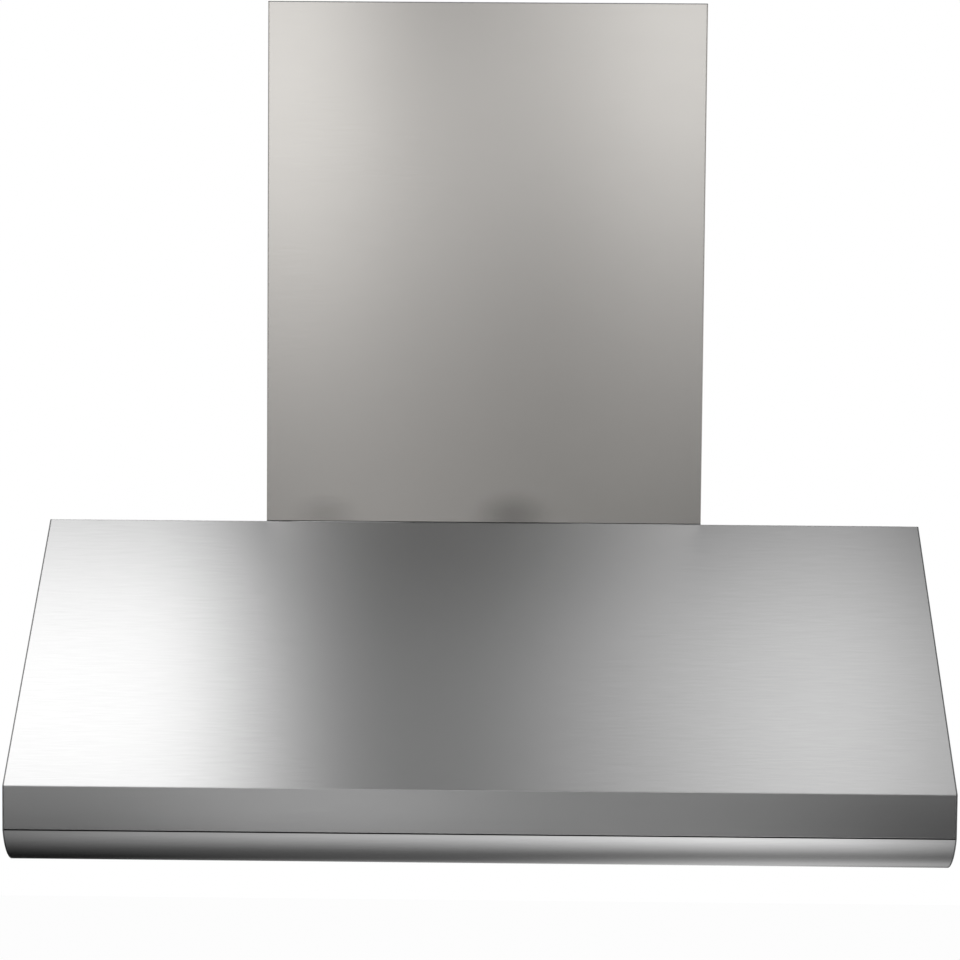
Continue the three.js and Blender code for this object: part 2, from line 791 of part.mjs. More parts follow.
const controlCableHeight = switchFoot + CONTROL_BOX_HEIGHT / 2;

function cableHole(x, u, v) {
  const radius = CABLE / 2 + CABLE_FIT;
  return acrossX(circle(u, v, radius, 12), 8, x);
}

// ---------------------------------------------------------------- blower

const plenumLow = topUnderside - SEAM - PLENUM_HEIGHT;
const scrollSweep = SCROLL_CUTOFF + Math.PI;
const scrollRadius = (angle) =>
  WHEEL / 2 + SCROLL_START + SHEET + (SCROLL_GROWTH * (SCROLL_CUTOFF - angle)) / scrollSweep;
const scrollTop = plenumLow - SEAM;
const axisHeight = scrollTop - SCROLL_NECK - scrollRadius(Math.PI / 2);
const scrollRear = BLOWER_DEPTH - scrollRadius(-Math.PI);
const cutoffFront = BLOWER_DEPTH + scrollRadius(SCROLL_CUTOFF) * Math.cos(SCROLL_CUTOFF);
const scrollOffset = MOTOR_LENGTH / 2 + MOTOR_TO_SCROLL + SCROLL_WIDTH / 2;
const scrollPlaces = [-scrollOffset, scrollOffset];

// The scroll's outline, drawn in from its outer face by an inset, with its neck up to a height.
function scrollOutline(inset, top) {
  const neckFront = cutoffFront - inset;
  const first = Math.acos((neckFront - BLOWER_DEPTH) / (scrollRadius(SCROLL_CUTOFF) - inset));
  const steps = 22;
  const spiral = Array.from({ length: steps + 1 }, (_, i) => {
    const angle = first - ((first + Math.PI) * i) / steps;
    const radius = scrollRadius(angle) - inset;
    return [BLOWER_DEPTH + radius * Math.cos(angle), axisHeight + radius * Math.sin(angle)];
  });
  return [...spiral, [scrollRear + inset, top], [neckFront, top]];
}

// Rolled lip of a scroll's inlet, which leads the air into the wheel. Its face lies in the scroll's side.
function inletLip(side) {
  const mouth = SCROLL_INLET / 2;
  const face = (side * SCROLL_WIDTH) / 2;
  const profile = [
    [mouth + INLET_LIP, 0],
    [mouth + INLET_LIP * 0.3, INLET_LIP * 0.3],
    [mouth, INLET_LIP],
    [mouth + SHEET, INLET_LIP],
    [mouth + INLET_LIP * 0.3 + SHEET, INLET_LIP * 0.3 + SHEET / 2],
    [mouth + INLET_LIP, SHEET],
    [mouth + INLET_LIP, 0],
  ].map(([radius, depth]) => [radius, face - side * depth]);
  return turned(side > 0 ? profile.reverse() : profile, 24);
}

// Sheet scroll with a wide inlet on its outer side and a small hole for the shaft on the motor's side.
function scrollHousing(side) {
  const x = side * scrollOffset;
  const shell = acrossX(scrollOutline(0, scrollTop), SCROLL_WIDTH, x);
  const flange = box(
    x - SCROLL_WIDTH / 2 - SCROLL_FLANGE,
    x + SCROLL_WIDTH / 2 + SCROLL_FLANGE,
    scrollRear - SCROLL_FLANGE,
    cutoffFront + SCROLL_FLANGE,
    scrollTop - SHEET,
    scrollTop,
  );
  const hollow = acrossX(scrollOutline(SHEET, scrollTop + 1), SCROLL_WIDTH - 2 * SHEET, x);
  const hole = (diameter, face, sides) =>
    acrossX(circle(BLOWER_DEPTH, axisHeight, diameter / 2, sides), 4 * SHEET, x + (face * SCROLL_WIDTH) / 2);
  const inlet = hole(SCROLL_INLET + INLET_LIP, side, 24);
  const shaftHole = hole(SHAFT_HOLE, -side, 12);
  const scroll = cut(join(shell, flange), hollow, inlet, shaftHole);
  return join(scroll, ontoAxis(inletLip(side), x));
}

// Turns a body drawn about the vertical axis onto the blower's axis.
function ontoAxis(geometry, x) {
  return geometry.rotateY(Math.PI / 2).translate(x, -BLOWER_DEPTH, axisHeight);
}

// Squirrel-cage wheel: forward-curved blades between a back plate on the motor's side and an open rim.
function blowerWheel(side) {
  const outer = WHEEL / 2;
  const inner = outer - BLADE_DEPTH;
  const bladeLine = [
    [inner, 0],
    [(inner + outer) / 2, BLADE_SWEEP * 0.25],
    [outer - WHEEL_RIM / 4, BLADE_SWEEP],
  ];
  const blade = extrude(sheet(bladeLine, BLADE_SHEET), WHEEL_WIDTH - WHEEL_RIM);
  const blades = Array.from({ length: WHEEL_BLADES }, (_, i) =>
    blade.clone().rotateZ((2 * Math.PI * i) / WHEEL_BLADES),
  );
  const end = WHEEL_WIDTH / 2;
  const span = (from, to) => (side > 0 ? [from, to] : [-to, -from]);
  const rim = ring(inner - WHEEL_RIM / 2, outer, ...span(end - WHEEL_RIM, end), WHEEL_BLADES);
  const plate = disc(outer, ...span(-end, -end + WHEEL_RIM), WHEEL_BLADES);
  const hub = disc(HUB / 2, ...span(-end, -end + HUB_LENGTH), 16);
  const bore = disc(SHAFT / 2 + HUB_FIT, ...span(-end - 1, -end + HUB_LENGTH + 1), 12);
  return ontoAxis(cut(join(plate, hub, rim, ...blades), bore), side * scrollOffset);
}

const shaftReach = scrollOffset - WHEEL_WIDTH / 2 + HUB_LENGTH + 4;

function blowerShaft() {
  return ontoAxis(disc(SHAFT / 2, -shaftReach, shaftReach, 12), 0);
}

function blowerMotor() {
  const half = MOTOR_LENGTH / 2;
  const radius = MOTOR / 2;
  const bore = SHAFT / 2 + BEARING_FIT;
  const body = turned(
    [
      [bore, -half],
      [radius - MOTOR_SHOULDER, -half],
      [radius - MOTOR_SHOULDER / 3, -half + MOTOR_BELL / 2],
      [radius, -half + MOTOR_BELL],
      [radius, half - MOTOR_BELL],
      [radius - MOTOR_SHOULDER / 3, half - MOTOR_BELL / 2],
      [radius - MOTOR_SHOULDER, half],
      [bore, half],
      [bore, -half],
    ],
    MOTOR_SIDES,
  );
  return ontoAxis(body, 0);
}

// Strap round the motor, with two legs up to the plenum's floor.
function motorCradle() {
  const inner = MOTOR / 2 + SEAM;
  const outer = inner + CRADLE_SHEET;
  const half = CRADLE_WIDTH / 2;
  const strap = ontoAxis(ring(inner, outer, -half, half, MOTOR_SIDES), 0);
  const legs = [-1, 1].flatMap((side) => {
    const [near, far] = [inner + 0.3, outer].map((reach) => BLOWER_DEPTH + side * reach);
    const toe = far + side * CRADLE_FOOT;
    return [
      box(-half, half, Math.min(near, far), Math.max(near, far), axisHeight, scrollTop),
      box(-half, half, Math.min(near, toe), Math.max(near, toe), scrollTop - CRADLE_SHEET, scrollTop),
    ];
  });
  return join(strap, ...legs);
}

// Can with its stud end on the canopy's top, beside the plenum.
function capacitor() {
  const radius = CAPACITOR / 2;
  const top = topUnderside - SEAM;
  const can = turned(
    [
      [0, top - CAPACITOR_LENGTH],
      [radius - 2, top - CAPACITOR_LENGTH],
      [radius, top - CAPACITOR_LENGTH + 2],
      [radius, top],
      [0, top],
    ],
    20,
  );
  const terminals = [-1, 1].map((side) =>
    box(side * 6 - 0.4, side * 6 + 0.4, -3, 3, top - CAPACITOR_LENGTH - 7, top - CAPACITOR_LENGTH + 1),
  );
  const x = plenumHalf + CAPACITOR_OFFSET;
  return join(can, ...terminals).translate(x, -ductMiddle, 0);
}

const plenumHalf = scrollOffset + SCROLL_WIDTH / 2 + SCROLL_FLANGE + SEAM;
const plenumRear = ductMiddle - ductInner - PLENUM_MARGIN;
const plenumFront = ductMiddle + ductInner + PLENUM_MARGIN;

// Shallow box under the canopy's top, open upwards, with a hole in its floor over each scroll.
function dischargePlenum() {
  const top = plenumLow + PLENUM_HEIGHT;
  const plan = (grow) =>
    rectangle(-plenumHalf - grow, plenumHalf + grow, plenumRear - grow, plenumFront + grow);
  const outlets = scrollPlaces.map((x) =>
    box(
      x - SCROLL_WIDTH / 2 + SHEET,
      x + SCROLL_WIDTH / 2 - SHEET,
      scrollRear + SHEET,
      cutoffFront - SHEET,
      plenumLow - 1,
      plenumLow + SHEET + 1,
    ),
  );
  const floor = upwards(plan(0), SHEET, plenumLow);
  const walls = upwards(plan(0), PLENUM_HEIGHT, plenumLow, [plan(-SHEET)]);
  const flange = upwards(plan(PLENUM_FLANGE), SHEET, top - SHEET, [plan(-SHEET)]);
  return cut(join(floor, walls, flange), ...outlets);
}

// ---------------------------------------------------------------- duct collar and damper

const collarFoot = CANOPY_HEIGHT + SEAM;
const pinHeight = CANOPY_HEIGHT + DAMPER_HEIGHT;
const flapUnder = pinHeight - FLAP_SHEET / 2;

function ductCollar() {
  const wall = ring(ductInner, ductOuter, collarFoot, collarFoot + COLLAR_HEIGHT, 32);
  const flange = ring(ductInner, ductOuter + COLLAR_FLANGE, collarFoot, collarFoot + SHEET, 32);
  const ledgeTop = flapUnder - SEAM;
  const ledge = ring(ductInner - FLAP_STOP, ductOuter - SHEET / 2, ledgeTop - SHEET, ledgeTop, 32);
  const collar = join(wall, flange, ledge).translate(0, -ductMiddle, 0);
  const pinHole = acrossX(circle(ductMiddle, pinHeight, DAMPER_PIN / 2 + SEAM, 12), 3 * ductOuter);
  return cut(collar, pinHole);
}

function damperPin() {
  return acrossX(circle(ductMiddle, pinHeight, DAMPER_PIN / 2, 12), 2 * (ductOuter + PIN_HEAD));
}

// Half-round flap with two knuckles round the pin. The two flaps' knuckles lie side by side.
function damperFlap(side) {
  const radius = ductInner - DAMPER_GAP;
  const edge = KNUCKLE / 2 + 0.6;
  const open = Math.asin(edge / radius);
  const outline = arc(0, 0, radius, open, Math.PI - open, 16);
  const plate = upwards(outline, FLAP_SHEET, flapUnder);
  const places = [-1, 1].map((end) => end * (KNUCKLE_OFFSET + (side * (KNUCKLE_LENGTH + SEAM)) / 2));
  const knuckles = places.map((x) =>
    acrossX(circle(0, pinHeight, KNUCKLE / 2, 12), KNUCKLE_LENGTH, x),
  );
  const tabs = places.map((x) => {
    const half = KNUCKLE_LENGTH / 2 - 1;
    return box(x - half, x + half, DAMPER_PIN / 2 + 1, edge + 2, flapUnder, flapUnder + FLAP_SHEET);
  });
  const bore = acrossX(circle(0, pinHeight, DAMPER_PIN / 2 + SEAM, 12), 2 * ductOuter);
  const flap = cut(join(plate, ...knuckles, ...tabs), bore);
  return flap.rotateZ(side > 0 ? 0 : Math.PI).translate(0, -ductMiddle, 0);
}

// ---------------------------------------------------------------- flue cover

const flueFoot = CANOPY_HEIGHT + SEAM;
const flueHalf = FLUE_WIDTH / 2;

function flueCover() {
  const line = folded([
    [-flueHalf, SEAM],
    [-flueHalf, TOP_DEPTH],
    [flueHalf, TOP_DEPTH],
    [flueHalf, SEAM],
  ]);
  return upwards(sheet(line), FLUE_HEIGHT, flueFoot);
}

// Wall bracket inside the cover's upper end: a wall plate with two ears.
function flueBracket() {
  const side = flueHalf - SHEET - SEAM;
  const line = folded([
    [-side, BRACKET_EAR],
    [-side, 0],
    [side, 0],
    [side, BRACKET_EAR],
  ]);
  const low = flueFoot + FLUE_HEIGHT - BRACKET_BELOW_TOP - BRACKET_HEIGHT;
  const plan = sheet(line.reverse(), CLIP_SHEET);
  return upwards(plan, BRACKET_HEIGHT, low);
}

// Angle on the canopy's top, inside the cover's side.
function flueClip(side) {
  const face = side * (flueHalf - SHEET - SEAM);
  const foot = CANOPY_HEIGHT + SEAM;
  const from = TOP_DEPTH / 2 - CLIP_LENGTH / 2;
  const span = (reach) => [Math.min(face, face - side * reach), Math.max(face, face - side * reach)];
  const upLeg = box(...span(CLIP_SHEET), from, from + CLIP_LENGTH, foot, foot + CLIP_LEG);
  const flatLeg = box(...span(CLIP_LEG), from, from + CLIP_LENGTH, foot, foot + CLIP_SHEET);
  return join(upLeg, flatLeg);
}

// ---------------------------------------------------------------- wiring

const junctionLeft = junctionPlace - JUNCTION_WIDTH / 2;
const junctionFront = backFace + JUNCTION_DEPTH;
const motorCableDepth = backFace + MOTOR_ENTRY;
const motorCableHeight = JUNCTION_RISE - 2 * CABLE;
const controlCableDepth = backFace + CONTROL_ENTRY;
const controlEntryHeight = JUNCTION_RISE + CABLE_LEAD;

function junctionBox() {
  const right = junctionPlace + JUNCTION_WIDTH / 2;
  const low = JUNCTION_RISE - JUNCTION_HEIGHT / 2;
  const high = JUNCTION_RISE + JUNCTION_HEIGHT / 2;
  const shell = box(junctionLeft, right, backFace, junctionFront, low, high);
  const hollow = box(
    junctionLeft + SHEET,
    right - SHEET,
    backFace + SHEET,
    junctionFront + 1,
    low + SHEET,
    high - SHEET,
  );
  const entry = upright(
    circle(junctionPlace, JUNCTION_RISE, KNOCKOUT / 2, 16),
    backFace - 1,
    backFace + SHEET + 1,
  );
  return cut(
    shell,
    hollow,
    entry,
    cableHole(junctionLeft, motorCableDepth, motorCableHeight),
    cableHole(junctionLeft, controlCableDepth, controlEntryHeight),
  );
}

function junctionCover() {
  const right = junctionPlace + JUNCTION_WIDTH / 2;
  const low = JUNCTION_RISE - JUNCTION_HEIGHT / 2;
  const high = JUNCTION_RISE + JUNCTION_HEIGHT / 2;
  const from = junctionFront + SEAM;
  return upright(rectangle(junctionLeft, right, low, high), from, from + SHEET);
}

// Ring that lines the supply cable's way through the back panel into the junction box.
function cableBushing() {
  const radius = KNOCKOUT / 2 - SEAM;
  const flangeFace = backFace + SHEET + SEAM;
  const bushing = turned(
    [
      [radius - BUSHING_WALL, 0],
      [radius, 0],
      [radius, flangeFace],
      [radius + BUSHING_WALL, flangeFace],
      [radius + BUSHING_WALL, flangeFace + BUSHING_WALL],
      [radius - BUSHING_WALL, flangeFace + BUSHING_WALL],
      [radius - BUSHING_WALL, 0],
    ],
    16,
  );
  return bushing.rotateX(Math.PI / 2).translate(junctionPlace, 0, JUNCTION_RISE);
}

// From the junction box along the back panel, behind the scroll, to the motor's rear.
function motorCable() {
  const x = (CRADLE_WIDTH / 2 + MOTOR_LENGTH / 2 - MOTOR_BELL) / 2;
  const end = BLOWER_DEPTH - MOTOR / 2 - 2 * SEAM;
  return rod(
    [
      [junctionLeft + SHEET + CABLE_TAIL, motorCableDepth, motorCableHeight],
      [junctionLeft - CABLE_LEAD, motorCableDepth, motorCableHeight],
      [scrollOffset + SCROLL_WIDTH / 2, scrollRear / 2, axisHeight],
      [scrollOffset - SCROLL_WIDTH / 2, scrollRear / 2, axisHeight],
      [x, end - CABLE_BEND / 2, axisHeight],
      [x, end - CABLE_TAIL, axisHeight],
      [x, end, axisHeight],
    ],
    CABLE,
    6,
    20,
  );
}

// From the control box up behind the front panel and over the filters to the junction box.
function controlCable() {
  const boxEnd = CONTROL_BOX_WIDTH / 2;
  const rise = boxEnd + 2 * CABLE_BEND;
  return rod(
    [
      [boxEnd - SHEET - CABLE_TAIL, stripMiddle, controlCableHeight],
      [boxEnd + CABLE_LEAD, stripMiddle, controlCableHeight],
      [boxEnd + CABLE_BEND + CABLE_LEAD, stripMiddle, controlCableHeight + CABLE_BEND],
      [rise, frontRailUp[0] + 2 * CABLE_LEAD, frontRailUp[1] + 2 * CABLE_LEAD],
      [junctionLeft - 2 * CABLE_BEND, ductMiddle, controlEntryHeight],
      [junctionLeft - CABLE_BEND, controlCableDepth, controlEntryHeight],
      [junctionLeft - CABLE_LEAD, controlCableDepth, controlEntryHeight],
      [junctionLeft + SHEET + CABLE_TAIL, controlCableDepth, controlEntryHeight],
    ],
    CABLE,
    6,
    30,
  );
}

// ---------------------------------------------------------------- assembly

add("front_panel", frontPanel(), stainless);
add("nose_rail", noseRail(), stainless);
add("side_panel_left", sidePanel(-1), stainless);
add("side_panel_right", sidePanel(1), stainless);
add("back_panel", backPanel(), galvanised);
add("hanger_plate_left", hangerPlate(hangPlaces[0]), galvanised);
add("hanger_plate_right", hangerPlate(hangPlaces[1]), galvanised);
add("top_panel", topPanel(), stainless);
add("light_panel", lightPanel(), stainless);
add("rear_filter_rail", rearFilterRail(), stainless);
add("front_filter_rail", frontFilterRail(), stainless);

const filterBank = new THREE.Group();
filterBank.position.set(0, -FILTER_REAR, FILTER_LOW);
filterBank.rotation.x = -FILTER_TILT;
hood.add(filterBank);
filterPlaces.forEach((x, i) => {
  add(`baffle_filter_${i + 1}`, baffleFilter(), filterStainless, filterBank).position.x = x;
  add(`filter_handle_${i + 1}`, filterHandle(x), knobMetal);
});
add("grease_tray", greaseTray(), stainless);

lampPlaces.forEach((x, i) => {
  add(`lamp_housing_${i + 1}`, lampHousing(), stainless).position.set(x, -stripMiddle, 0);
  add(`lamp_lens_${i + 1}`, lampLens(), lensGlass).position.set(x, -stripMiddle, 0);
});

["fan", "light"].forEach((use, i) => {
  add(`${use}_knob`, knob(), knobMetal).position.set(knobPlaces[i], -stripMiddle, 0);
  add(`${use}_knob_shaft`, knobShaft(), galvanised).position.set(knobPlaces[i], -stripMiddle, 0);
  add(`${use}_switch`, rotarySwitch(), blackPlastic).position.set(knobPlaces[i], -stripMiddle, 0);
});
add("control_box", controlBox(), galvanised);

["left", "right"].forEach((side, i) => {
  const way = i ? 1 : -1;
  add(`scroll_housing_${side}`, scrollHousing(way), galvanised);
  add(`blower_wheel_${side}`, blowerWheel(way), galvanised);
});
add("blower_shaft", blowerShaft(), galvanised);
add("blower_motor", blowerMotor(), motorPaint);
add("motor_cradle", motorCradle(), galvanised);
add("motor_capacitor", capacitor(), aluminium);
add("discharge_plenum", dischargePlenum(), galvanised);

add("duct_collar", ductCollar(), galvanised);
add("damper_pin", damperPin(), galvanised);
add("damper_flap_front", damperFlap(1), aluminium);
add("damper_flap_rear", damperFlap(-1), aluminium);

add("flue_cover", flueCover(), flueStainless);
add("flue_bracket", flueBracket(), galvanised);
add("flue_clip_left", flueClip(-1), galvanised);
add("flue_clip_right", flueClip(1), galvanised);

add("junction_box", junctionBox(), galvanised);
add("junction_cover", junctionCover(), galvanised);
add("cable_bushing", cableBushing(), blackPlastic);
add("motor_cable", motorCable(), cableSheath);
add("control_cable", controlCable(), cableSheath);

hood.position.z = -HANG_HEIGHT;

export default hood;
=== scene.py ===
"""Looks of a wall-hung chimney range hood in brushed stainless steel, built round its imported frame.

Lengths are millimetres until a mesh is made, and metres in the camera and the studio. Sections are drawn
as (u, v): u is the distance from the wall and v the height above the canopy's bottom edge, as a fitter
measures them.
"""
from math import cos, pi, radians, sin, tan

import bmesh
import bpy
from mathutils import Matrix, Vector


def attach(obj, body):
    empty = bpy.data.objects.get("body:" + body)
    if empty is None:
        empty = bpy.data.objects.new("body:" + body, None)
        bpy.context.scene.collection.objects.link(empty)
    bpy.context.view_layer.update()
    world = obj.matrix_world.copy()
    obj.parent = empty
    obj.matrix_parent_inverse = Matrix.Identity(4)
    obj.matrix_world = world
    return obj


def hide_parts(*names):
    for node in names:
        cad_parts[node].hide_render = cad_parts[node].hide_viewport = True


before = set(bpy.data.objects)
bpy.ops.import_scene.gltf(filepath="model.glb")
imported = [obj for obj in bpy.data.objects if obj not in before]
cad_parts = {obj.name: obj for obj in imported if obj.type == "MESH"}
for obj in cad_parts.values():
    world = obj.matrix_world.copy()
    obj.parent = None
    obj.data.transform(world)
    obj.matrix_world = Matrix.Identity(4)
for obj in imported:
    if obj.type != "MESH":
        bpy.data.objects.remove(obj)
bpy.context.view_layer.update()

# ------------------------------------------------------------------ sizes, in mm
# Most are the solids' own. The joint's width, the screw heads, the printed marks, the welds, the collar's
# bead, the lens's crown and the smallest radii are set here, for the looks.
HANG_HEIGHT = 400  # of the frame's origin above the canopy's bottom edge
HOOD_ABOVE_FLOOR = 1700
SHEET = 1.2
SEAM = 0.3  # between pieces that lie on each other
BEND = 2.5  # radius of a fold, where no other is given
FOLD_SHARE = 0.45  # the most of a side that a fold takes

# Canopy
CANOPY_WIDTH = 1219
CANOPY_DEPTH = 610
CANOPY_HEIGHT = 443
TOP_DEPTH = 305
TOP_FLANGE = 20
TOP_BEND = 1.6
SIDE_SHEET = 1.5
SIDE_FLANGE = 18
TRAY_SHELF = 62
SHELF_LIP = 7

# Fascia and nose
FASCIA_HEIGHT = 57
FASCIA_FLANGE = 14
FASCIA_BEND = 0.5  # the pressed fold above the nose
JOINT = 1.7  # between fascia and nose, as wide as their folded edges make it look
JOINT_REACH = 3  # from its middle, within which a level face is painted dark, as painted shade
NOSE_DROP = 46
NOSE_BREAK = radians(19.3)
NOSE_RETURN = 28
NOSE_SHOULDER = 0.2  # of its flange's edge behind the fascia's face
NOSE_HEEL = 1  # flat behind the nose's lowest line

# Flue cover, and the clips at its foot
FLUE_WIDTH = 610
FLUE_HEIGHT = 720
CLIP_SHEET = 1.5
CLIP_LEG = 24

# Light panel, with its lamps and knobs
PANEL_HEIGHT = 24
PANEL_STRIP = 88
LAMP_COUNT = 4
LAMP_BEZEL = 74
LAMP_RIM = 2.6
LAMP_BODY = 56
LAMP_HEIGHT = 34
LENS = 48
LENS_THICKNESS = 1.8
LENS_CROWN = 1.2
KNOB = 38
KNOB_LENGTH = 19
KNOB_GAP = 0.8
KNOB_SPACING = 84
KNOB_FLUTES = 8
POINTER_HALF = 1.1  # of its width
POINTER_START = 3  # from the knob's centre
POINTER_END = 14.5
POINTER_RISE = 0.7  # out of the knob's face
POINTER_DEPTH = 1.2
MARK_START = 3  # from the knob's rim
MARK_END = 7
DOT_RADIUS = 1.1  # mark of the off position
BAR_HALF = 0.4  # of a bar's width, to which each next bar adds
BAR_GROWTH = 0.3
PRINT_DEPTH = 0.12  # from the panel down to a printed mark's outer face
PRINT_THICKNESS = 0.1

# Grease tray
TRAY_HEIGHT = 60
TRAY_REACH = 35
TRAY_HEM = 5
TRAY_CLEARANCE = 3
TRAY_END_INSET = 0.2  # of its end walls

# Filters and their handles
FILTER_COUNT = 4
FILTER_GAP = 2
FILTER_LENGTH = 300
FILTER_THICKNESS = 24
FILTER_SHEET = 1
FILTER_LIP = 13
FILTER_BEND = 2.2
FILTER_TILT = radians(27)
FILTER_REAR = 52
FILTER_LOW = 92
BAFFLE_COUNT = 5
BAFFLE_WIDTH = 38
BAFFLE_LEG = 13
BAFFLE_INSET = 1.5  # of its ends from the frame's outside
WELD = 4.4  # dimple of a spot weld
WELD_RISE = 0.3
WELD_PLACE = 0.55  # of the frame's lip
WELD_SPREAD = 9  # of a baffle's two welds from its middle
EAR = 2.5
EAR_RIM = 2.4
EAR_ROOT = 1.2  # how far it reaches into the frame's sheet
HANDLE_PLACE = 36
HANDLE_STANDOFF = 7
HANDLE_DROP = 24
HANDLE_ROD = 5
HANDLE_BEND = 3
HANDLE_FIT = 0.4
HANDLE_TIP = 2  # of its ends outside the ears

# Duct collar
DUCT_RADIUS = 127
COLLAR_HEIGHT = 62
COLLAR_FLANGE = 12
BEAD_PLACE = 0.6  # of the collar's height
BEAD_RISE = 2.4
BEAD_HALF = 2.6  # of its height
DAMPER_HEIGHT = 14
FLAP_SHEET = 1
FLAP_STOP = 9

# Screw heads
COLLAR_SCREWS = 6
COLLAR_SCREW_PLACE = 0.55  # of the collar's flange
CLIP_SCREW_PLACE = 0.6  # of the clip's leg
SHEET_SCREW = (3.4, 2)  # radius and height
CLIP_SCREW_SPREAD = 45  # of a clip's two screws from its middle
PANEL_SCREW = (3.6, 1.8)
PANEL_SCREW_INSET = 9  # from the strip's front edge
PANEL_SCREW_PLACES = (-560, -304, 304, 560)  # across, from the middle

INNER_HALF = CANOPY_WIDTH / 2 - SIDE_SHEET - SEAM
NOSE_RADIUS = NOSE_DROP / (1 - sin(NOSE_BREAK))
NOSE_DEPTH = CANOPY_DEPTH - NOSE_RADIUS * cos(NOSE_BREAK)
LIP_DEPTH = NOSE_DEPTH - NOSE_RETURN
FASCIA_TOP = NOSE_DROP + FASCIA_HEIGHT
STRIP_FRONT = LIP_DEPTH - SEAM - SHEET
STRIP_MIDDLE = STRIP_FRONT - PANEL_STRIP / 2
FILTER_WIDTH = (2 * INNER_HALF - (FILTER_COUNT + 1) * FILTER_GAP) / FILTER_COUNT
FILTER_PLACES = [(i - (FILTER_COUNT - 1) / 2) * (FILTER_WIDTH + FILTER_GAP) for i in range(FILTER_COUNT)]
BAFFLE_PITCH = (FILTER_WIDTH - 2 * FILTER_LIP) / BAFFLE_COUNT
HANDLE_SPAN = 2 * BAFFLE_PITCH - BAFFLE_WIDTH / 2


def place(x, u, v):
    """A point of the hood in metres, in the frame's own axes."""
    return Vector((x, -u, v - HANG_HEIGHT)) / 1000


def into_scene(name, data):
    item = bpy.data.objects.new(name, data)
    bpy.context.scene.collection.objects.link(item)
    return item


# ------------------------------------------------------------------ camera at the photo's viewing angle
CAMERA_PLACE = (0.0297, -3.4121, 0.0461)
CAMERA_PITCH, CAMERA_YAW, CAMERA_ROLL = 0.05845, 0.01063, 0.00858  # radians: down, left, anticlockwise
CAMERA_LENS = 82.835
CAMERA_SENSOR = 36
CAMERA_SHIFT = 0.1771


def photo_camera():
    pitch, yaw, roll = CAMERA_PITCH, CAMERA_YAW, CAMERA_ROLL
    ahead = Vector((-sin(yaw), cos(yaw), 0))
    right = Vector((cos(yaw), sin(yaw), 0))
    up = Vector((0, 0, 1))
    forward = ahead * cos(pitch) - up * sin(pitch)
    above = up * cos(pitch) + ahead * sin(pitch)
    across = right * cos(roll) + above * sin(roll)
    top = above * cos(roll) - right * sin(roll)
    data = bpy.data.cameras.new("photo_camera")
    data.sensor_width = CAMERA_SENSOR
    data.lens = CAMERA_LENS
    data.shift_y = CAMERA_SHIFT
    data.clip_end = 60
    camera = into_scene("photo_camera", data)
    turn = Matrix((across, top, -forward)).transposed().to_4x4()
    camera.matrix_world = Matrix.Translation(CAMERA_PLACE) @ turn
    bpy.context.scene.camera = camera


# ------------------------------------------------------------------ materials
def linear(hexcode):
    """An sRGB hex colour as linear red, green, blue and alpha."""
    channels = [int(hexcode[i : i + 2], 16) / 255 for i in (0, 2, 4)]
    return [c / 12.92 if c <= 0.04045 else ((c + 0.055) / 1.055) ** 2.4 for c in channels] + [1]


def add(tree, kind, inputs=None, stops=(), **settings):
    """Adds a node with its settings and a ramp's (position, colour) stops, and links or sets its inputs."""
    node = tree.nodes.new(kind)
    for name, value in settings.items():
        setattr(node, name, value)
    if stops:
        elements = node.color_ramp.elements
        elements.remove(elements[-1])
        elements[0].position, elements[0].color = stops[0]
        for position, color in stops[1:]:
            elements.new(position).color = color
    for socket, value in (inputs or {}).items():
        if isinstance(value, bpy.types.NodeSocket):
            tree.links.new(value, node.inputs[socket])
        else:
            node.inputs[socket].default_value = value
    return node


def new_material(name):
    material = bpy.data.materials.new(name)
    material.use_nodes = True
    material.node_tree.nodes.clear()
    return material, material.node_tree


def repeats(size):
    """How often a pattern of this size, in mm, fits into a metre, as a whole number."""
    return round(1000 / size)


# The belt's scratches are about 0.1 mm wide. They are drawn 1.1 mm wide, and 40 mm long, so that they show.
STREAK_LENGTH, STREAK_WIDTH = 40, 1.1
WIPED_PATCHES = (repeats(143), repeats(143), repeats(62.5))  # soft patches left by wiping
SPANGLES = repeats(7.7)  # zinc crystals
ZINC_PITS = repeats(1.111)  # real ones are finer, and wouldn't show
FROST_DIMPLES = repeats(1.429)  # real frosting is finer, and wouldn't show
NOISE_RANGE = {"From Min": 0.3, "From Max": 0.7}  # where most of a noise lies
# Painted reflections are wider than high, on the outer face alone: through the sheet they are out of reach.
DARK_REFLECTION_SHAPE = (1.0, 80.0, 1.6)


def with_painted_reflections(tree, color, dark_reflections):
    """The colour with painted dark reflections, soft patches given by centre, radius and depth of shade."""
    where = add(tree, "ShaderNodeTexCoord").outputs["Object"]
    for centre, radius, depth in dark_reflections:
        off = add(tree, "ShaderNodeVectorMath", {0: where, 1: centre}, operation="SUBTRACT").outputs[0]
        off = add(tree, "ShaderNodeVectorMath", {0: off, 1: DARK_REFLECTION_SHAPE}, operation="MULTIPLY").outputs[0]
        reach = add(tree, "ShaderNodeVectorMath", {0: off}, operation="LENGTH").outputs["Value"]
        inputs = {"Value": reach, "From Min": 0.0, "From Max": radius, "To Min": 1 - depth, "To Max": 1.0}
        shade = add(tree, "ShaderNodeMapRange", inputs, interpolation_type="SMOOTHSTEP").outputs["Result"]
        color = add(tree, "ShaderNodeVectorMath", {0: color, "Scale": shade}, operation="SCALE").outputs[0]
    return color


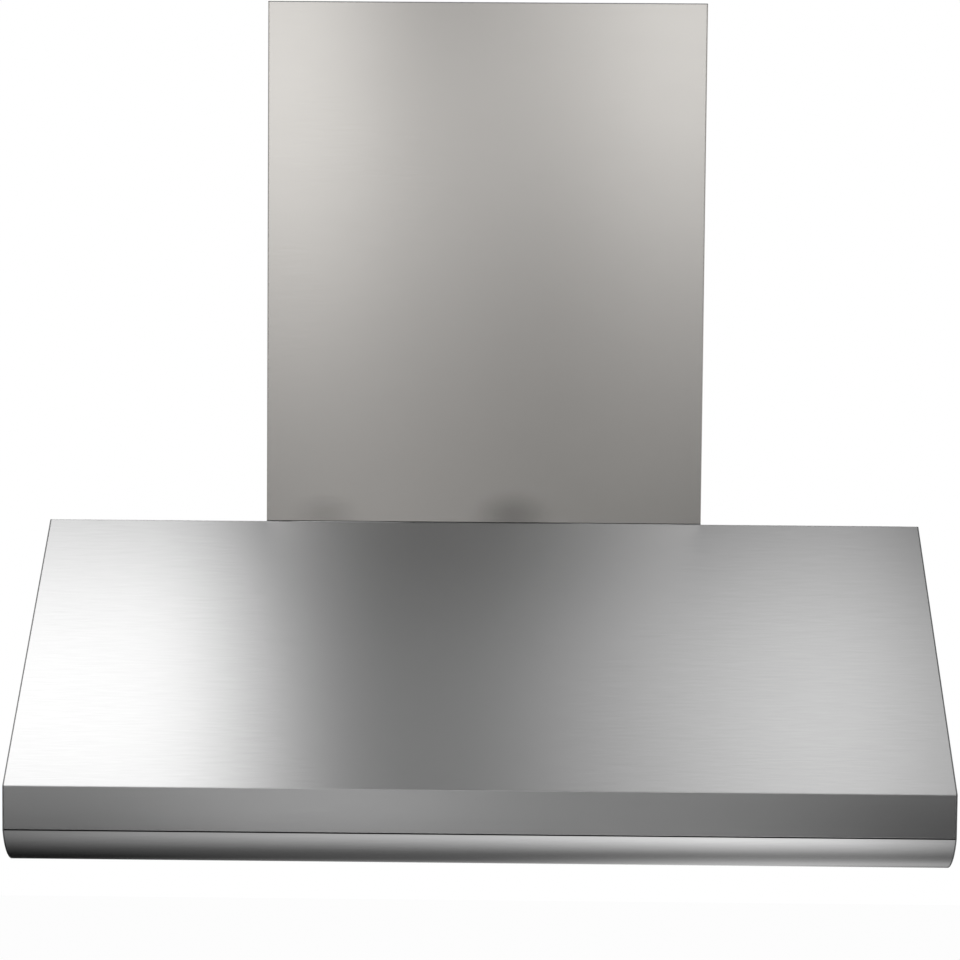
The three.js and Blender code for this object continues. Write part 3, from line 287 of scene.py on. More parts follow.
def brushed_steel(name, light, dark, roughness, grain="X", spread=0.01, anisotropic=0.7, dark_reflections=()):
    """Stainless sheet ground with a belt: reflections smear across the grain, and streaks run along it."""
    material, tree = new_material(name)
    where = add(tree, "ShaderNodeTexCoord").outputs["Object"]
    along, across = 1000 / STREAK_LENGTH, 1000 / STREAK_WIDTH
    scale = {"X": (along, across, across), "Y": (across, along, across), "Z": (across, across, along)}[grain]
    drawn_out = add(tree, "ShaderNodeMapping", {"Vector": where, "Scale": scale}).outputs["Vector"]
    inputs = {"Vector": drawn_out, "Scale": 1, "Detail": 3, "Roughness": 0.6}
    streaks = add(tree, "ShaderNodeTexNoise", inputs).outputs["Fac"]
    patches = add(tree, "ShaderNodeMapping", {"Vector": where, "Scale": WIPED_PATCHES}).outputs["Vector"]
    wiped = add(tree, "ShaderNodeTexNoise", {"Vector": patches, "Scale": 1, "Detail": 2}).outputs["Fac"]
    shades = [(0.3, linear(dark)), (0.7, linear(light))]
    color = add(tree, "ShaderNodeValToRGB", {"Fac": streaks}, shades).outputs["Color"]
    both = add(tree, "ShaderNodeMath", {0: streaks, 1: wiped}, operation="ADD").outputs[0]
    both = add(tree, "ShaderNodeMath", {0: both, 1: 0.5}, operation="MULTIPLY").outputs[0]
    inputs = {"Value": both, **NOISE_RANGE, "To Min": roughness - spread, "To Max": roughness + spread}
    gloss = add(tree, "ShaderNodeMapRange", inputs).outputs["Result"]
    lean = (0.0, 0.02, 1.0) if grain != "Z" else (1.0, 0.02, 0.0)
    tangent = add(tree, "ShaderNodeCombineXYZ", {"X": lean[0], "Y": lean[1], "Z": lean[2]})
    bump = add(tree, "ShaderNodeBump", {"Height": streaks, "Strength": 0.01, "Distance": 0.0001})
    inputs = {
        # Painted dark reflections darken the colour here.
        "Base Color": with_painted_reflections(tree, color, dark_reflections),
        "Roughness": gloss,
        "Metallic": 1,
        "Anisotropic": anisotropic,
        "Tangent": tangent.outputs["Vector"],
        "Normal": bump.outputs["Normal"],
    }
    shader = add(tree, "ShaderNodeBsdfPrincipled", inputs)
    add(tree, "ShaderNodeOutputMaterial", {"Surface": shader.outputs[0]})
    return material


def grained(name, light, dark, roughness, metallic, grain_mm, bump_mm, spread=0.06, clearcoat=0.0):
    """A plain surface with the fine even mottle of its making, in the grain size given."""
    material, tree = new_material(name)
    where = add(tree, "ShaderNodeTexCoord").outputs["Object"]
    size = 1000 / grain_mm
    mottle = add(tree, "ShaderNodeTexNoise", {"Vector": where, "Scale": size, "Detail": 3}).outputs["Fac"]
    inputs = {"Vector": where, "Scale": size / 12, "Detail": 2}
    blotch = add(tree, "ShaderNodeTexNoise", inputs).outputs["Fac"]
    tone = add(tree, "ShaderNodeMath", {0: mottle, 1: blotch}, operation="ADD").outputs[0]
    tone = add(tree, "ShaderNodeMath", {0: tone, 1: 0.5}, operation="MULTIPLY").outputs[0]
    shades = [(0.36, linear(dark)), (0.64, linear(light))]
    color = add(tree, "ShaderNodeValToRGB", {"Fac": tone}, shades).outputs["Color"]
    inputs = {"Value": tone, **NOISE_RANGE, "To Min": roughness - spread, "To Max": roughness + spread}
    gloss = add(tree, "ShaderNodeMapRange", inputs).outputs["Result"]
    bump = add(tree, "ShaderNodeBump", {"Height": mottle, "Strength": 0.25, "Distance": bump_mm / 1000})
    inputs = {
        "Base Color": color,
        "Roughness": gloss,
        "Metallic": metallic,
        "Coat Weight": clearcoat,
        "Normal": bump.outputs["Normal"],
    }
    shader = add(tree, "ShaderNodeBsdfPrincipled", inputs)
    add(tree, "ShaderNodeOutputMaterial", {"Surface": shader.outputs[0]})
    return material


def spangled_zinc(name):
    """Hot-dip galvanised sheet: crystals about 8 mm across that differ a little in tone and gloss."""
    material, tree = new_material(name)
    where = add(tree, "ShaderNodeTexCoord").outputs["Object"]
    cells = add(tree, "ShaderNodeTexVoronoi", {"Vector": where, "Scale": SPANGLES, "Randomness": 1})
    tone = add(tree, "ShaderNodeSeparateColor", {"Color": cells.outputs["Color"]}).outputs[0]
    shades = [(0, linear("a9acad")), (1, linear("c3c6c7"))]
    color = add(tree, "ShaderNodeValToRGB", {"Fac": tone}, shades).outputs["Color"]
    inputs = {"Value": tone, **NOISE_RANGE, "To Min": 0.42, "To Max": 0.55}
    gloss = add(tree, "ShaderNodeMapRange", inputs).outputs["Result"]
    pits = add(tree, "ShaderNodeTexNoise", {"Vector": where, "Scale": ZINC_PITS}).outputs["Fac"]
    bump = add(tree, "ShaderNodeBump", {"Height": pits, "Strength": 0.15, "Distance": 0.0002})
    inputs = {"Base Color": color, "Roughness": gloss, "Metallic": 1, "Normal": bump.outputs["Normal"]}
    shader = add(tree, "ShaderNodeBsdfPrincipled", inputs)
    add(tree, "ShaderNodeOutputMaterial", {"Surface": shader.outputs[0]})
    return material


def frosted_glass(name):
    """Pressed glass frosted on its inner face: milky, with a smooth wet sheen outside."""
    material, tree = new_material(name)
    where = add(tree, "ShaderNodeTexCoord").outputs["Object"]
    dimples = add(tree, "ShaderNodeTexNoise", {"Vector": where, "Scale": FROST_DIMPLES}).outputs["Fac"]
    shades = [(0.3, linear("e3e0d6")), (0.7, linear("f0eee6"))]
    color = add(tree, "ShaderNodeValToRGB", {"Fac": dimples}, shades).outputs["Color"]
    inputs = {"Value": dimples, **NOISE_RANGE, "To Min": 0.2, "To Max": 0.34}
    gloss = add(tree, "ShaderNodeMapRange", inputs).outputs["Result"]
    bump = add(tree, "ShaderNodeBump", {"Height": dimples, "Strength": 0.1, "Distance": 0.0003})
    inputs = {
        "Base Color": color,
        "Roughness": gloss,
        "Transmission Weight": 0.35,
        "Coat Weight": 0.4,
        "Normal": bump.outputs["Normal"],
    }
    shader = add(tree, "ShaderNodeBsdfPrincipled", inputs)
    add(tree, "ShaderNodeOutputMaterial", {"Surface": shader.outputs[0]})
    return material


# The plastics, the enamel and the glass keep the shader's own IOR of 1.5, which is within 0.05 of theirs.

# Canopy skin: neutral grey, grain running left to right.
canopy_steel = brushed_steel("stainless_brushed_canopy", "c9c9c9", "c3c3c3", 0.26, spread=0.004)
# The same sheet on the two sides, where the grain runs front to back.
side_steel = brushed_steel("stainless_brushed_side", "c6c6c6", "bebebe", 0.3, grain="Y")
# Sheared edge of that sheet: raw, rough and darker than its faces.
cut_edge = grained("stainless_sheared_edge", "9a9a9a", "7d7d7d", 0.5, 1.0, 0.5, 0.05)
# Painted shade: the sheet in the fascia's joint with the nose, and at the flue cover's foot, is dark grey.
joint_painted_shade = grained("stainless_joint_painted_shade", "4f4f4f", "404040", 0.6, 1.0, 0.5, 0.05)
# The flue cover comes from another coil: a shade warmer, with reflections that smear less.
# Two soft dark patches low on its front are painted reflections.
flue_steel = brushed_steel(
    "stainless_brushed_flue",
    "cac7c3",
    "c6c3bf",
    0.26,
    spread=0.004,
    anisotropic=0.55,
    dark_reflections=[(place(-222, TOP_DEPTH, 452), 0.06, 0.18), (place(40, TOP_DEPTH, 452), 0.07, 0.33)],
)
# Under the canopy the same sheet is brushed less evenly: a little darker and duller.
liner_steel = brushed_steel("stainless_brushed_liner", "bfbfbf", "b6b6b6", 0.33, spread=0.02)
# Baffles are folded from bright-annealed sheet, almost a mirror, with rolling lines along them.
baffle_steel = brushed_steel("stainless_bright_baffle", "cfcfcf", "c2c2c2", 0.2, grain="Y", anisotropic=0.4)
# Knobs and lamp bezels are turned, then brushed: shinier than the liner round them.
knob_steel = brushed_steel("stainless_brushed_knob", "c0c0c1", "b2b2b3", 0.24, grain="Z", anisotropic=0.5)
# Handles are bent from wire, which its die leaves smooth: bright, with hardly any grain.
wire_steel = grained("stainless_drawn_wire", "c4c4c5", "b0b0b1", 0.2, 1.0, 0.8, 0.02)
# Sheet that is out of sight is hot-dip galvanised: dull grey, with a frost of crystals.
zinc_steel = spangled_zinc("steel_galvanised_spangle")
# Screws, pins and shafts are zinc plated: pale grey with a trace of green, and a soft shine.
zinc_screw = grained("steel_zinc_plated_screw", "b4b6b2", "9b9d99", 0.35, 1.0, 0.6, 0.03)
# Damper flaps and the capacitor's can are rolled aluminium: a shade bluer and duller than the steel.
flap_aluminium = grained("aluminium_rolled_sheet", "c3c5c7", "b4b6b8", 0.38, 1.0, 1.4, 0.03)
# The motor is sprayed with enamel and baked: dark grey, with a faint orange peel under a weak gloss.
motor_enamel = grained("enamel_dark_grey_motor", "3f4346", "34383b", 0.42, 0.0, 1.1, 0.12, clearcoat=0.15)
# Switches, pointers and the cable's bushing are moulded nylon: black and matt. The printed marks match it.
black_nylon = grained("nylon_black_moulded", "232324", "19191a", 0.5, 0.0, 0.7, 0.08)
# Cable sheaths are extruded PVC: mid grey, smooth and dull.
cable_pvc = grained("pvc_grey_cable_sheath", "94979a", "878a8d", 0.48, 0.0, 0.9, 0.05)
# Lamp lenses hide the lamp: an even warm white, with a sheen.
lens_glass = frosted_glass("glass_frosted_lamp_lens")


# ------------------------------------------------------------------ mesh making
def mesh_of(name, work):
    mesh = bpy.data.meshes.new(name)
    work.to_mesh(mesh)
    work.free()
    return mesh


def add_piece(name, build, material, body, replaces=(), smooth=35):
    """Makes a piece that rides on a body, from a function that fills a bmesh.

    Faces are turned outwards, and edges sharper than smooth, in degrees, stay crisp."""
    work = bmesh.new()
    build(work)
    bmesh.ops.remove_doubles(work, verts=work.verts, dist=1e-6)
    bmesh.ops.recalc_face_normals(work, faces=work.faces)
    mesh = mesh_of(name, work)
    mesh.materials.append(material)
    for polygon in mesh.polygons:
        polygon.use_smooth = True
    mesh.set_sharp_from_angle(angle=radians(smooth))
    piece = into_scene(name, mesh)
    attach(piece, body)
    if replaces:
        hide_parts(*replaces)
    return piece


def prism(work, outline, position):
    """A closed outline joined to its copy: position(point, end) gives each corner at end 0 and 1."""
    rings = [[work.verts.new(position(point, end)) for point in outline] for end in (0, 1)]
    for ring in rings:
        work.faces.new(ring)
    for i in range(len(outline)):
        j = (i + 1) % len(outline)
        work.faces.new([rings[0][i], rings[0][j], rings[1][j], rings[1][i]])


def strip_prism(work, near, far, position, stations=(0, 1), bands=(0,)):
    """A sheet between two lines of as many points, so that each bend is quads, with a row of corners at
    each station. Only the bands named take the first material, and the others the second."""
    count = len(near)
    rings = []
    for at in stations:
        rings.append([[work.verts.new(position(point, at)) for point in line] for line in (near, far)])
    for end in (rings[0], rings[-1]):
        for i in range(count - 1):
            work.faces.new([end[0][i], end[0][i + 1], end[1][i + 1], end[1][i]])
    for step, (a, b) in enumerate(zip(rings, rings[1:])):
        faces = []
        for side in (0, 1):
            faces += [[a[side][i], a[side][i + 1], b[side][i + 1], b[side][i]] for i in range(count - 1)]
        faces += [[a[0][i], a[1][i], b[1][i], b[0][i]] for i in (0, count - 1)]
        for corners in faces:
            work.faces.new(corners).material_index = 0 if step in bands else 1


def bridge(work, rings):
    """Quads between rings of as many corners, each ring closed."""
    for low, high in zip(rings, rings[1:]):
        for i in range(len(low)):
            j = (i + 1) % len(low)
            work.faces.new([low[i], low[j], high[j], high[i]])


def closed_tube(work, rings):
    """A solid through rings of as many corners, with a face over each end."""
    for end in (rings[0], rings[-1]):
        work.faces.new(end)
    bridge(work, rings)


def closed_ring(work, sections):
    """A ring-shaped solid through sections of as many corners, the last joined to the first."""
    rings = [[work.verts.new(point) for point in section] for section in sections]
    bridge(work, rings + rings[:1])


def plate(work, outlines, position):
    """A flat plate: its edge is the first outline, and the others are holes in it."""
    ends = []
    for end in (0, 1):
        loops = [[work.verts.new(position(point, end)) for point in outline] for outline in outlines]
        edges = [work.edges.new((a, b)) for loop in loops for a, b in zip(loop, loop[1:] + loop[:1])]
        bmesh.ops.triangle_fill(work, edges=edges, use_beauty=True)
        ends.append(loops)
    for loops in zip(*ends):
        bridge(work, loops)


def circle(sides):
    """The angles of a circle's corners."""
    return [2 * pi * k / sides for k in range(sides)]


def wire(work, points, radius, sides=14):
    """Round wire along a path in an upright plane across the hood, in metres, with its ends drawn in."""
    ahead = Vector((0, 1, 0))
    overshoot, tip = 0.3, 0.6  # shares of the radius
    way = [(b - a).normalized() for a, b in zip(points, points[1:])]
    path = [(points[0] - way[0] * radius * overshoot, way[0], tip)]
    for i, point in enumerate(points):
        before, after = way[max(i - 1, 0)], way[min(i, len(way) - 1)]
        path.append((point, (before + after).normalized(), 1))
    path.append((points[-1] + way[-1] * radius * overshoot, way[-1], tip))
    rings = []
    for point, along, share in path:
        side = along.cross(ahead)
        spokes = [(ahead * cos(a) + side * sin(a)) * radius * share for a in circle(sides)]
        rings.append([work.verts.new(point + spoke) for spoke in spokes])
    closed_tube(work, rings)


DOME_PROFILE = ((1, 0), (0.94, 0.45), (0.72, 0.82), (0.36, 1))  # shares of its radius and height


def dome(work, foot, facing, radius, height, sides=12):
    """A screw's or a weld's low round head. Its radius and height are mm."""
    facing = facing.normalized()
    side = facing.orthogonal().normalized()
    other = facing.cross(side)
    rings = []
    for share, rise in DOME_PROFILE:
        centre = foot + facing * (height * rise / 1000)
        reach = radius * share / 1000
        spokes = [(side * cos(a) + other * sin(a)) * reach for a in circle(sides)]
        rings.append([work.verts.new(centre + spoke) for spoke in spokes])
    closed_tube(work, rings)


def folded(line, radius=BEND, steps=7):
    """An open line with each corner rounded over as long a stretch as an arc of the radius takes."""
    points = [Vector(p) for p in line]
    rounded = [points[0]]
    for i in range(1, len(points) - 1):
        back = points[i - 1] - points[i]
        on = points[i + 1] - points[i]
        half = back.angle(on) / 2
        reach = min(radius / tan(half), back.length * FOLD_SHARE, on.length * FOLD_SHARE)
        start = points[i] + back.normalized() * reach
        end = points[i] + on.normalized() * reach
        for k in range(steps + 1):
            t = k / steps
            rounded.append(start * (1 - t) ** 2 + points[i] * 2 * t * (1 - t) + end * t * t)
    rounded.append(points[-1])
    return rounded


def offset(line, thickness):
    """The line's other face, to its right."""
    points = [Vector(p) for p in line]
    normals = []
    for p, q in zip(points, points[1:]):
        step = (q - p).normalized()
        normals.append(Vector((step.y, -step.x)))
    far = []
    for i, point in enumerate(points):
        before = normals[max(i - 1, 0)]
        after = normals[min(i, len(normals) - 1)]
        mitre = (before + after).normalized()
        far.append(point + mitre * (thickness / mitre.dot(before)))
    return far


def canopy_sheet(node, line):
    """Folded sheet that runs across the whole canopy, from a (u, v) line."""
    near = [Vector(p) for p in line]
    far = offset(line, SHEET)

    def build(work):
        strip_prism(work, near, far, lambda p, end: place((2 * end - 1) * INNER_HALF, p.x, p.y))

    return add_piece(f"{node}_skin", build, canopy_steel, "hood", [node])


def nose_arc(steps=40):
    """The nose's round face, from the joint down to its lowest line, as (u, v) points."""
    points = []
    for i in range(steps + 1):
        angle = -NOSE_BREAK + (-pi / 2 + NOSE_BREAK) * i / steps
        u, v = NOSE_DEPTH + NOSE_RADIUS * cos(angle), NOSE_RADIUS + NOSE_RADIUS * sin(angle)
        points.append((u, v))
    return points


def lathe(work, profile, centre, steps=64):
    """A closed (radius, height) profile turned about a vertical axis. Heights are v."""
    x, u = centre
    rings = []
    for radius, height in profile:
        if radius < 1e-6:
            rings.append([work.verts.new(place(x, u, height))])
            continue
        points = [(x + radius * cos(a), u + radius * sin(a), height) for a in circle(steps)]
        rings.append([work.verts.new(place(*point)) for point in points])
    for low, high in zip(rings, rings[1:]):
        for k in range(steps):
            corners = []
            for ring, order in ((low, (k, (k + 1) % steps)), (high, ((k + 1) % steps, k))):
                corners += [ring[0]] if len(ring) == 1 else [ring[i] for i in order]
            if len(set(corners)) > 2:
                work.faces.new(dict.fromkeys(corners))


# ------------------------------------------------------------------ canopy
def front_panel():
    """The top's front flange, the slope and the fascia, folded from one sheet."""
    edge = NOSE_DROP + JOINT / 2
    top_edge = (TOP_DEPTH, CANOPY_HEIGHT)
    slope_middle = ((TOP_DEPTH + CANOPY_DEPTH) / 2, (CANOPY_HEIGHT + FASCIA_TOP) / 2)
    fascia_middle = (CANOPY_DEPTH, (FASCIA_TOP + edge) / 2)
    upper = folded([(TOP_DEPTH - TOP_FLANGE, CANOPY_HEIGHT), top_edge, slope_middle], TOP_BEND)
    lower = folded([slope_middle, (CANOPY_DEPTH, FASCIA_TOP), fascia_middle])
    foot = folded([fascia_middle, (CANOPY_DEPTH, edge), (CANOPY_DEPTH - FASCIA_FLANGE, edge)], FASCIA_BEND)
    line = upper + lower[1:] + foot[1:]
    return canopy_sheet("front_panel", line)


def nose_rail():
    """The rounded bottom edge, with its flange behind the fascia and its return under the canopy."""
    top = NOSE_DROP - JOINT / 2
    shoulder = [Vector((CANOPY_DEPTH - FASCIA_FLANGE, top)), Vector((CANOPY_DEPTH - NOSE_SHOULDER, top))]
    foot = folded([(NOSE_DEPTH - NOSE_HEEL, 0), (LIP_DEPTH, 0), (LIP_DEPTH, PANEL_HEIGHT - SEAM)])
    line = shoulder + nose_arc()[1:] + foot
    return canopy_sheet("nose_rail", line)


def canopy():
    fascia, rail = front_panel(), nose_rail()
    joint = place(0, CANOPY_DEPTH, NOSE_DROP).z
    # Level faces inside the joint between fascia and nose take the dark joint material: painted shade.
    for piece in (fascia, rail):
        piece.data.materials.append(joint_painted_shade)
        for face in piece.data.polygons:
            if abs(face.center.z - joint) < JOINT_REACH / 1000 and abs(face.normal.z) > 0.8:
                face.material_index = 1
    for side, label in ((-1, "left"), (1, "right")):
        side_panel(side, label)


def side_panel(side, label):
    """A flat side with the nose's curve, and the flange along its bottom edge."""
    outline = [Vector((0, 0))] + [Vector(p) for p in reversed(nose_arc())]
    upper = ((CANOPY_DEPTH, FASCIA_TOP), (TOP_DEPTH, CANOPY_HEIGHT), (0, CANOPY_HEIGHT))
    outline += [Vector(p) for p in upper]
    outer = side * CANOPY_WIDTH / 2
    inner = outer - side * SIDE_SHEET
    rim = outer - side * SIDE_FLANGE

    def build(work):
        prism(work, outline, lambda p, end: place(outer if end else inner, p.x, p.y))
        rear, front = TRAY_SHELF + SHEET + SEAM, LIP_DEPTH - SEAM
        flange = [Vector(p) for p in ((rear, 0), (front, 0), (front, SHEET), (rear, SHEET))]
        prism(work, flange, lambda p, end: place(rim - side * SIDE_SHEET if end else inner, p.x, p.y))

    node = f"side_panel_{label}"
    piece = add_piece(f"{node}_skin", build, side_steel, "hood", [node], 12)
    piece.data.materials.append(cut_edge)
    for face in piece.data.polygons:
        if abs(face.normal.x) < 0.5:
            face.material_index = 1


# ------------------------------------------------------------------ flue cover
def flue_cover():
    """One sheet folded round three sides, with sheared ends. Its foot is painted dark: painted shade."""
    half = FLUE_WIDTH / 2
    line = folded([(-half, SEAM), (-half, TOP_DEPTH), (half, TOP_DEPTH), (half, SEAM)])
    foot, top = CANOPY_HEIGHT + SEAM, CANOPY_HEIGHT + SEAM + FLUE_HEIGHT
    heights = (foot, foot + SHEET, top - SHEET, top)

    def build(work):
        strip_prism(work, line, offset(line, SHEET), lambda p, v: place(p.x, p.y, v), heights, (1,))

    piece = add_piece("flue_cover_skin", build, flue_steel, "hood", ["flue_cover"])
    piece.data.materials.append(cut_edge)
    piece.data.materials.append(joint_painted_shade)
    # The lowest band takes the dark joint material: painted shade.
    for face in piece.data.polygons:
        if face.center.z < place(0, 0, foot + SHEET).z:
            face.material_index = 2


# ------------------------------------------------------------------ filters and their handles
def on_slope(s, n):
    """A point of the filter bank: s runs up the slope from its lower rear edge, n is square to it."""
    return (
        FILTER_REAR + s * cos(FILTER_TILT) - n * sin(FILTER_TILT),
        FILTER_LOW + s * sin(FILTER_TILT) + n * cos(FILTER_TILT),
    )


def filter_frame(work, at):
    """One channel section carried round the four sides, so that its corners are mitred."""
    channel = [(FILTER_LIP, 0), (0, 0), (0, FILTER_THICKNESS), (FILTER_LIP, FILTER_THICKNESS)]
    outer = folded(channel, FILTER_BEND, 5)
    section = outer + offset(outer, FILTER_SHEET)[::-1]
    half = FILTER_WIDTH / 2
    corners = []
    for side, far in ((-1, False), (1, False), (1, True), (-1, True)):
        corners.append([at(side * (half - p.x), FILTER_LENGTH - p.x if far else p.x, p.y) for p in section])
    closed_ring(work, corners)


def baffle(work, at, middle, upper):
    """A channel between the frame's lips. The lower ones open upwards, the upper ones hang into them."""
    inside = FILTER_WIDTH / 2 - 2 * FILTER_SHEET
    left = max(middle - BAFFLE_WIDTH / 2 + FILTER_SHEET, -inside)
    right = min(middle + BAFFLE_WIDTH / 2 - FILTER_SHEET, inside)
    foot = 2 * FILTER_SHEET
    tip = foot + BAFFLE_LEG
    line = folded([(left, tip), (left, foot), (right, foot), (right, tip)], FILTER_BEND, 5)

    def position(point, s):
        return at(point.x, s, FILTER_THICKNESS - point.y if upper else point.y)

    ends = (BAFFLE_INSET, FILTER_LENGTH - BAFFLE_INSET)
    strip_prism(work, line, offset(line, FILTER_SHEET), position, ends)


def handle_ear(work, at, side):
    """A lug with the eye that the handle's end turns in."""
    eye = HANDLE_ROD / 2 + HANDLE_FIT
    reach = eye + EAR_RIM
    rim = [(HANDLE_PLACE + reach, EAR_ROOT), (HANDLE_PLACE - reach, EAR_ROOT)]
    half_turn = [pi * k / 12 for k in range(13)]
    rim += [(HANDLE_PLACE - reach * cos(a), -HANDLE_STANDOFF - reach * sin(a)) for a in half_turn]
    hole = [(HANDLE_PLACE + eye * cos(a), -HANDLE_STANDOFF + eye * sin(a)) for a in circle(24)]
    middle = side * (HANDLE_SPAN / 2 + EAR / 2)
    plate(work, [rim, hole], lambda p, end: at(middle + (end - 0.5) * EAR, *p))


def baffle_filter(number):
    """A frame, a lower and an upper row of baffles, two ears, and the lower row's spot welds."""
    centre = FILTER_PLACES[number - 1]

    def at(x, s, n):
        return place(centre + x, *on_slope(s, n))

    def build(work):
        filter_frame(work, at)
        for i in range(BAFFLE_COUNT):
            baffle(work, at, (i - (BAFFLE_COUNT - 1) / 2) * BAFFLE_PITCH, False)
        for i in range(BAFFLE_COUNT + 1):
            baffle(work, at, (i - BAFFLE_COUNT / 2) * BAFFLE_PITCH, True)
        for side in (-1, 1):
            handle_ear(work, at, side)
        down = at(0, 0, -1) - at(0, 0, 0)
        inset = FILTER_LIP * WELD_PLACE
        for i in range(BAFFLE_COUNT):
            for across in (-WELD_SPREAD, WELD_SPREAD):
                x = (i - (BAFFLE_COUNT - 1) / 2) * BAFFLE_PITCH + across
                for s in (inset, FILTER_LENGTH - inset):
                    dome(work, at(x, s, 0), down, WELD / 2, WELD_RISE)

    node = f"baffle_filter_{number}"
    add_piece(f"{node}_frame", build, baffle_steel, f"filter_{number}", [node])


def filter_handle(number):
    """Drawn wire, bent to a flat-bottomed bail, with its two ends upset outside the ears."""
    u, v = on_slope(HANDLE_PLACE, -HANDLE_STANDOFF)
    leg = HANDLE_SPAN / 2 - HANDLE_BEND
    tip = HANDLE_SPAN / 2 + EAR + HANDLE_TIP
    low = -HANDLE_DROP
    line = folded([(-tip, 0), (-leg, 0), (-leg, low), (leg, low), (leg, 0), (tip, 0)], HANDLE_BEND, 8)
    points = [place(FILTER_PLACES[number - 1] + p.x, u, v + p.y) for p in line]

    def build(work):
        wire(work, points, HANDLE_ROD / 2000)

    node = f"filter_handle_{number}"
    add_piece(f"{node}_wire", build, wire_steel, f"handle_{number}", [node], 50)


def grease_tray():
    """A folded trough whose front leans out to a hem, with a wall in each end."""
    width = 2 * (INNER_HALF - TRAY_CLEARANCE)
    low = SHEET + SEAM
    rear = SHEET + TRAY_CLEARANCE
    front = TRAY_SHELF - SHEET - TRAY_CLEARANCE
    lean = SHELF_LIP + TRAY_CLEARANCE
    rim = low + TRAY_HEIGHT - SHEET
    lip = front + TRAY_REACH
    trough = [(lip, rim), (front, lean), (front, low), (rear, low)]
    line = folded([(lip + TRAY_HEM, rim)] + trough + [(rear, rim + SHEET)])
    wall = offset(folded(trough + [(rear, rim)]), SHEET / 3)
    ends = (-width / 2, width / 2)

    def build(work):
        strip_prism(work, line, offset(line, SHEET), lambda p, x: place(x, p.x, p.y), ends)
        for side in (-1, 1):
            outer = side * (width / 2 - TRAY_END_INSET)
            prism(work, wall, lambda p, end, x=outer, s=side: place(x - s * SHEET * end, p.x, p.y))

    add_piece("grease_tray_trough", build, liner_steel, "tray", ["grease_tray"])


# ------------------------------------------------------------------ lamps and controls
def lamp_unit(number):
    """A turned bezel with a rolled rim, and the frosted lens in it, a little domed."""
    centre = (((number - 0.5) / LAMP_COUNT - 0.5) * 2 * INNER_HALF, STRIP_MIDDLE)
    face = PANEL_HEIGHT - SEAM - LAMP_RIM
    seat = face + LENS_THICKNESS + SEAM
    well, rim, body = LENS / 2 + SEAM, LAMP_BEZEL / 2, LAMP_BODY / 2
    top = face + LAMP_HEIGHT
    bezel = [(0, seat), (well, seat), (well, face + 0.6), (well + 0.6, face), (well + 1.6, face - 0.15)]
    bezel += [(rim - 6, face - 0.15), (rim - 3, face + 0.1), (rim - 1.2, face + 0.6)]
    bezel += [(rim - 0.3, face + 1.4), (rim, face + LAMP_RIM), (body, face + LAMP_RIM)]
    bezel += [(body, top - 2), (body - 2, top), (0, top)]
    lens = [(0, seat - SEAM), (LENS / 2, seat - SEAM), (LENS / 2, face + 0.5), (LENS / 2 - 0.5, face + 0.1)]
    lens += [(LENS / 2 * cos(t), face - LENS_CROWN * sin(t)) for t in (0.5, 0.8, 1.1, 1.4)]
    lens += [(0, face - LENS_CROWN)]

    def turned(profile):
        return lambda work: lathe(work, profile, centre)

    housing, glass = f"lamp_housing_{number}", f"lamp_lens_{number}"
    add_piece(f"lamp_{number}_bezel", turned(bezel), knob_steel, "hood", [housing])
    add_piece(f"lamp_{number}_glass", turned(lens), lens_glass, "hood", [glass], 50)


def knob_grip(label, x):
    """A skirt, a groove above it, and a fluted grip with a chamfered face."""
    top = PANEL_HEIGHT - KNOB_GAP
    face = top - KNOB_LENGTH
    radius = KNOB / 2
    # Each level is a height, a radius and the flutes' depth there.
    skirt = [(top, radius - 0.5, 0), (top - 0.5, radius, 0), (top - 2.6, radius, 0)]
    groove = [(top - 3.2, radius - 0.6, 0), (top - 3.8, radius - 1.2, 0.2)]
    grip = [(top - 6, radius - 1.3, 1.1), (face + 2, radius - 1.6, 1.2), (face + 0.8, radius - 1.9, 1.1)]
    chamfer = [(face + 0.2, radius - 2.7, 0.9), (face, radius - 3.6, 0.7)]

    def build(work):
        rings = []
        for height, reach, flute in skirt + groove + grip + chamfer:
            ring = []
            for a in circle(96):
                r = reach - flute * max(0, cos(KNOB_FLUTES * a)) ** 2
                point = place(x + r * sin(a), STRIP_MIDDLE + r * cos(a), height)
                ring.append(work.verts.new(point))
            rings.append(ring)
        closed_tube(work, rings)

    node = f"{label}_knob"
    add_piece(f"{node}_grip", build, knob_steel, f"{label}_control", [node], 40)


def knob_pointer(label, x):
    """A bar with a round end, let into the knob's face."""
    face = PANEL_HEIGHT - KNOB_GAP - KNOB_LENGTH
    half = POINTER_HALF
    round_end = (0, 0.5, 1.05, 1.57, 2.1, 2.64, pi)
    outline = [(half * cos(a), POINTER_END + half * sin(a)) for a in round_end]
    outline += [(-half, POINTER_START), (half, POINTER_START)]

    def position(p, end):
        return place(x + p[0], STRIP_MIDDLE + p[1], face - POINTER_RISE + POINTER_DEPTH * end)

    def build(work):
        prism(work, outline, position)

    add_piece(f"{label}_knob_pointer", build, black_nylon, f"{label}_control")


def dial_marks(label, x, stops):
    """Marks printed on the panel round a knob: a dot for off, then bars that grow wider."""
    near, far = KNOB / 2 + MARK_START, KNOB / 2 + MARK_END

    def mark(work, number, degrees):
        angle = radians(degrees)
        c, s = cos(angle), sin(angle)
        half = BAR_HALF + BAR_GROWTH * number
        outline = [(-half, near), (half, near), (half, far), (-half, far)]
        if number == 0:
            middle = (near + far) / 2
            outline = [(DOT_RADIUS * cos(t), middle + DOT_RADIUS * sin(t)) for t in circle(16)]

        def position(p, end):
            across, out = p
            height = PANEL_HEIGHT - PRINT_DEPTH + PRINT_THICKNESS * end
            return place(x + out * s + across * c, STRIP_MIDDLE + out * c - across * s, height)

        prism(work, outline, position)

    def build(work):
        for number, degrees in enumerate(stops):
            mark(work, number, degrees)

    add_piece(f"{label}_dial_marks", build, black_nylon, "hood")


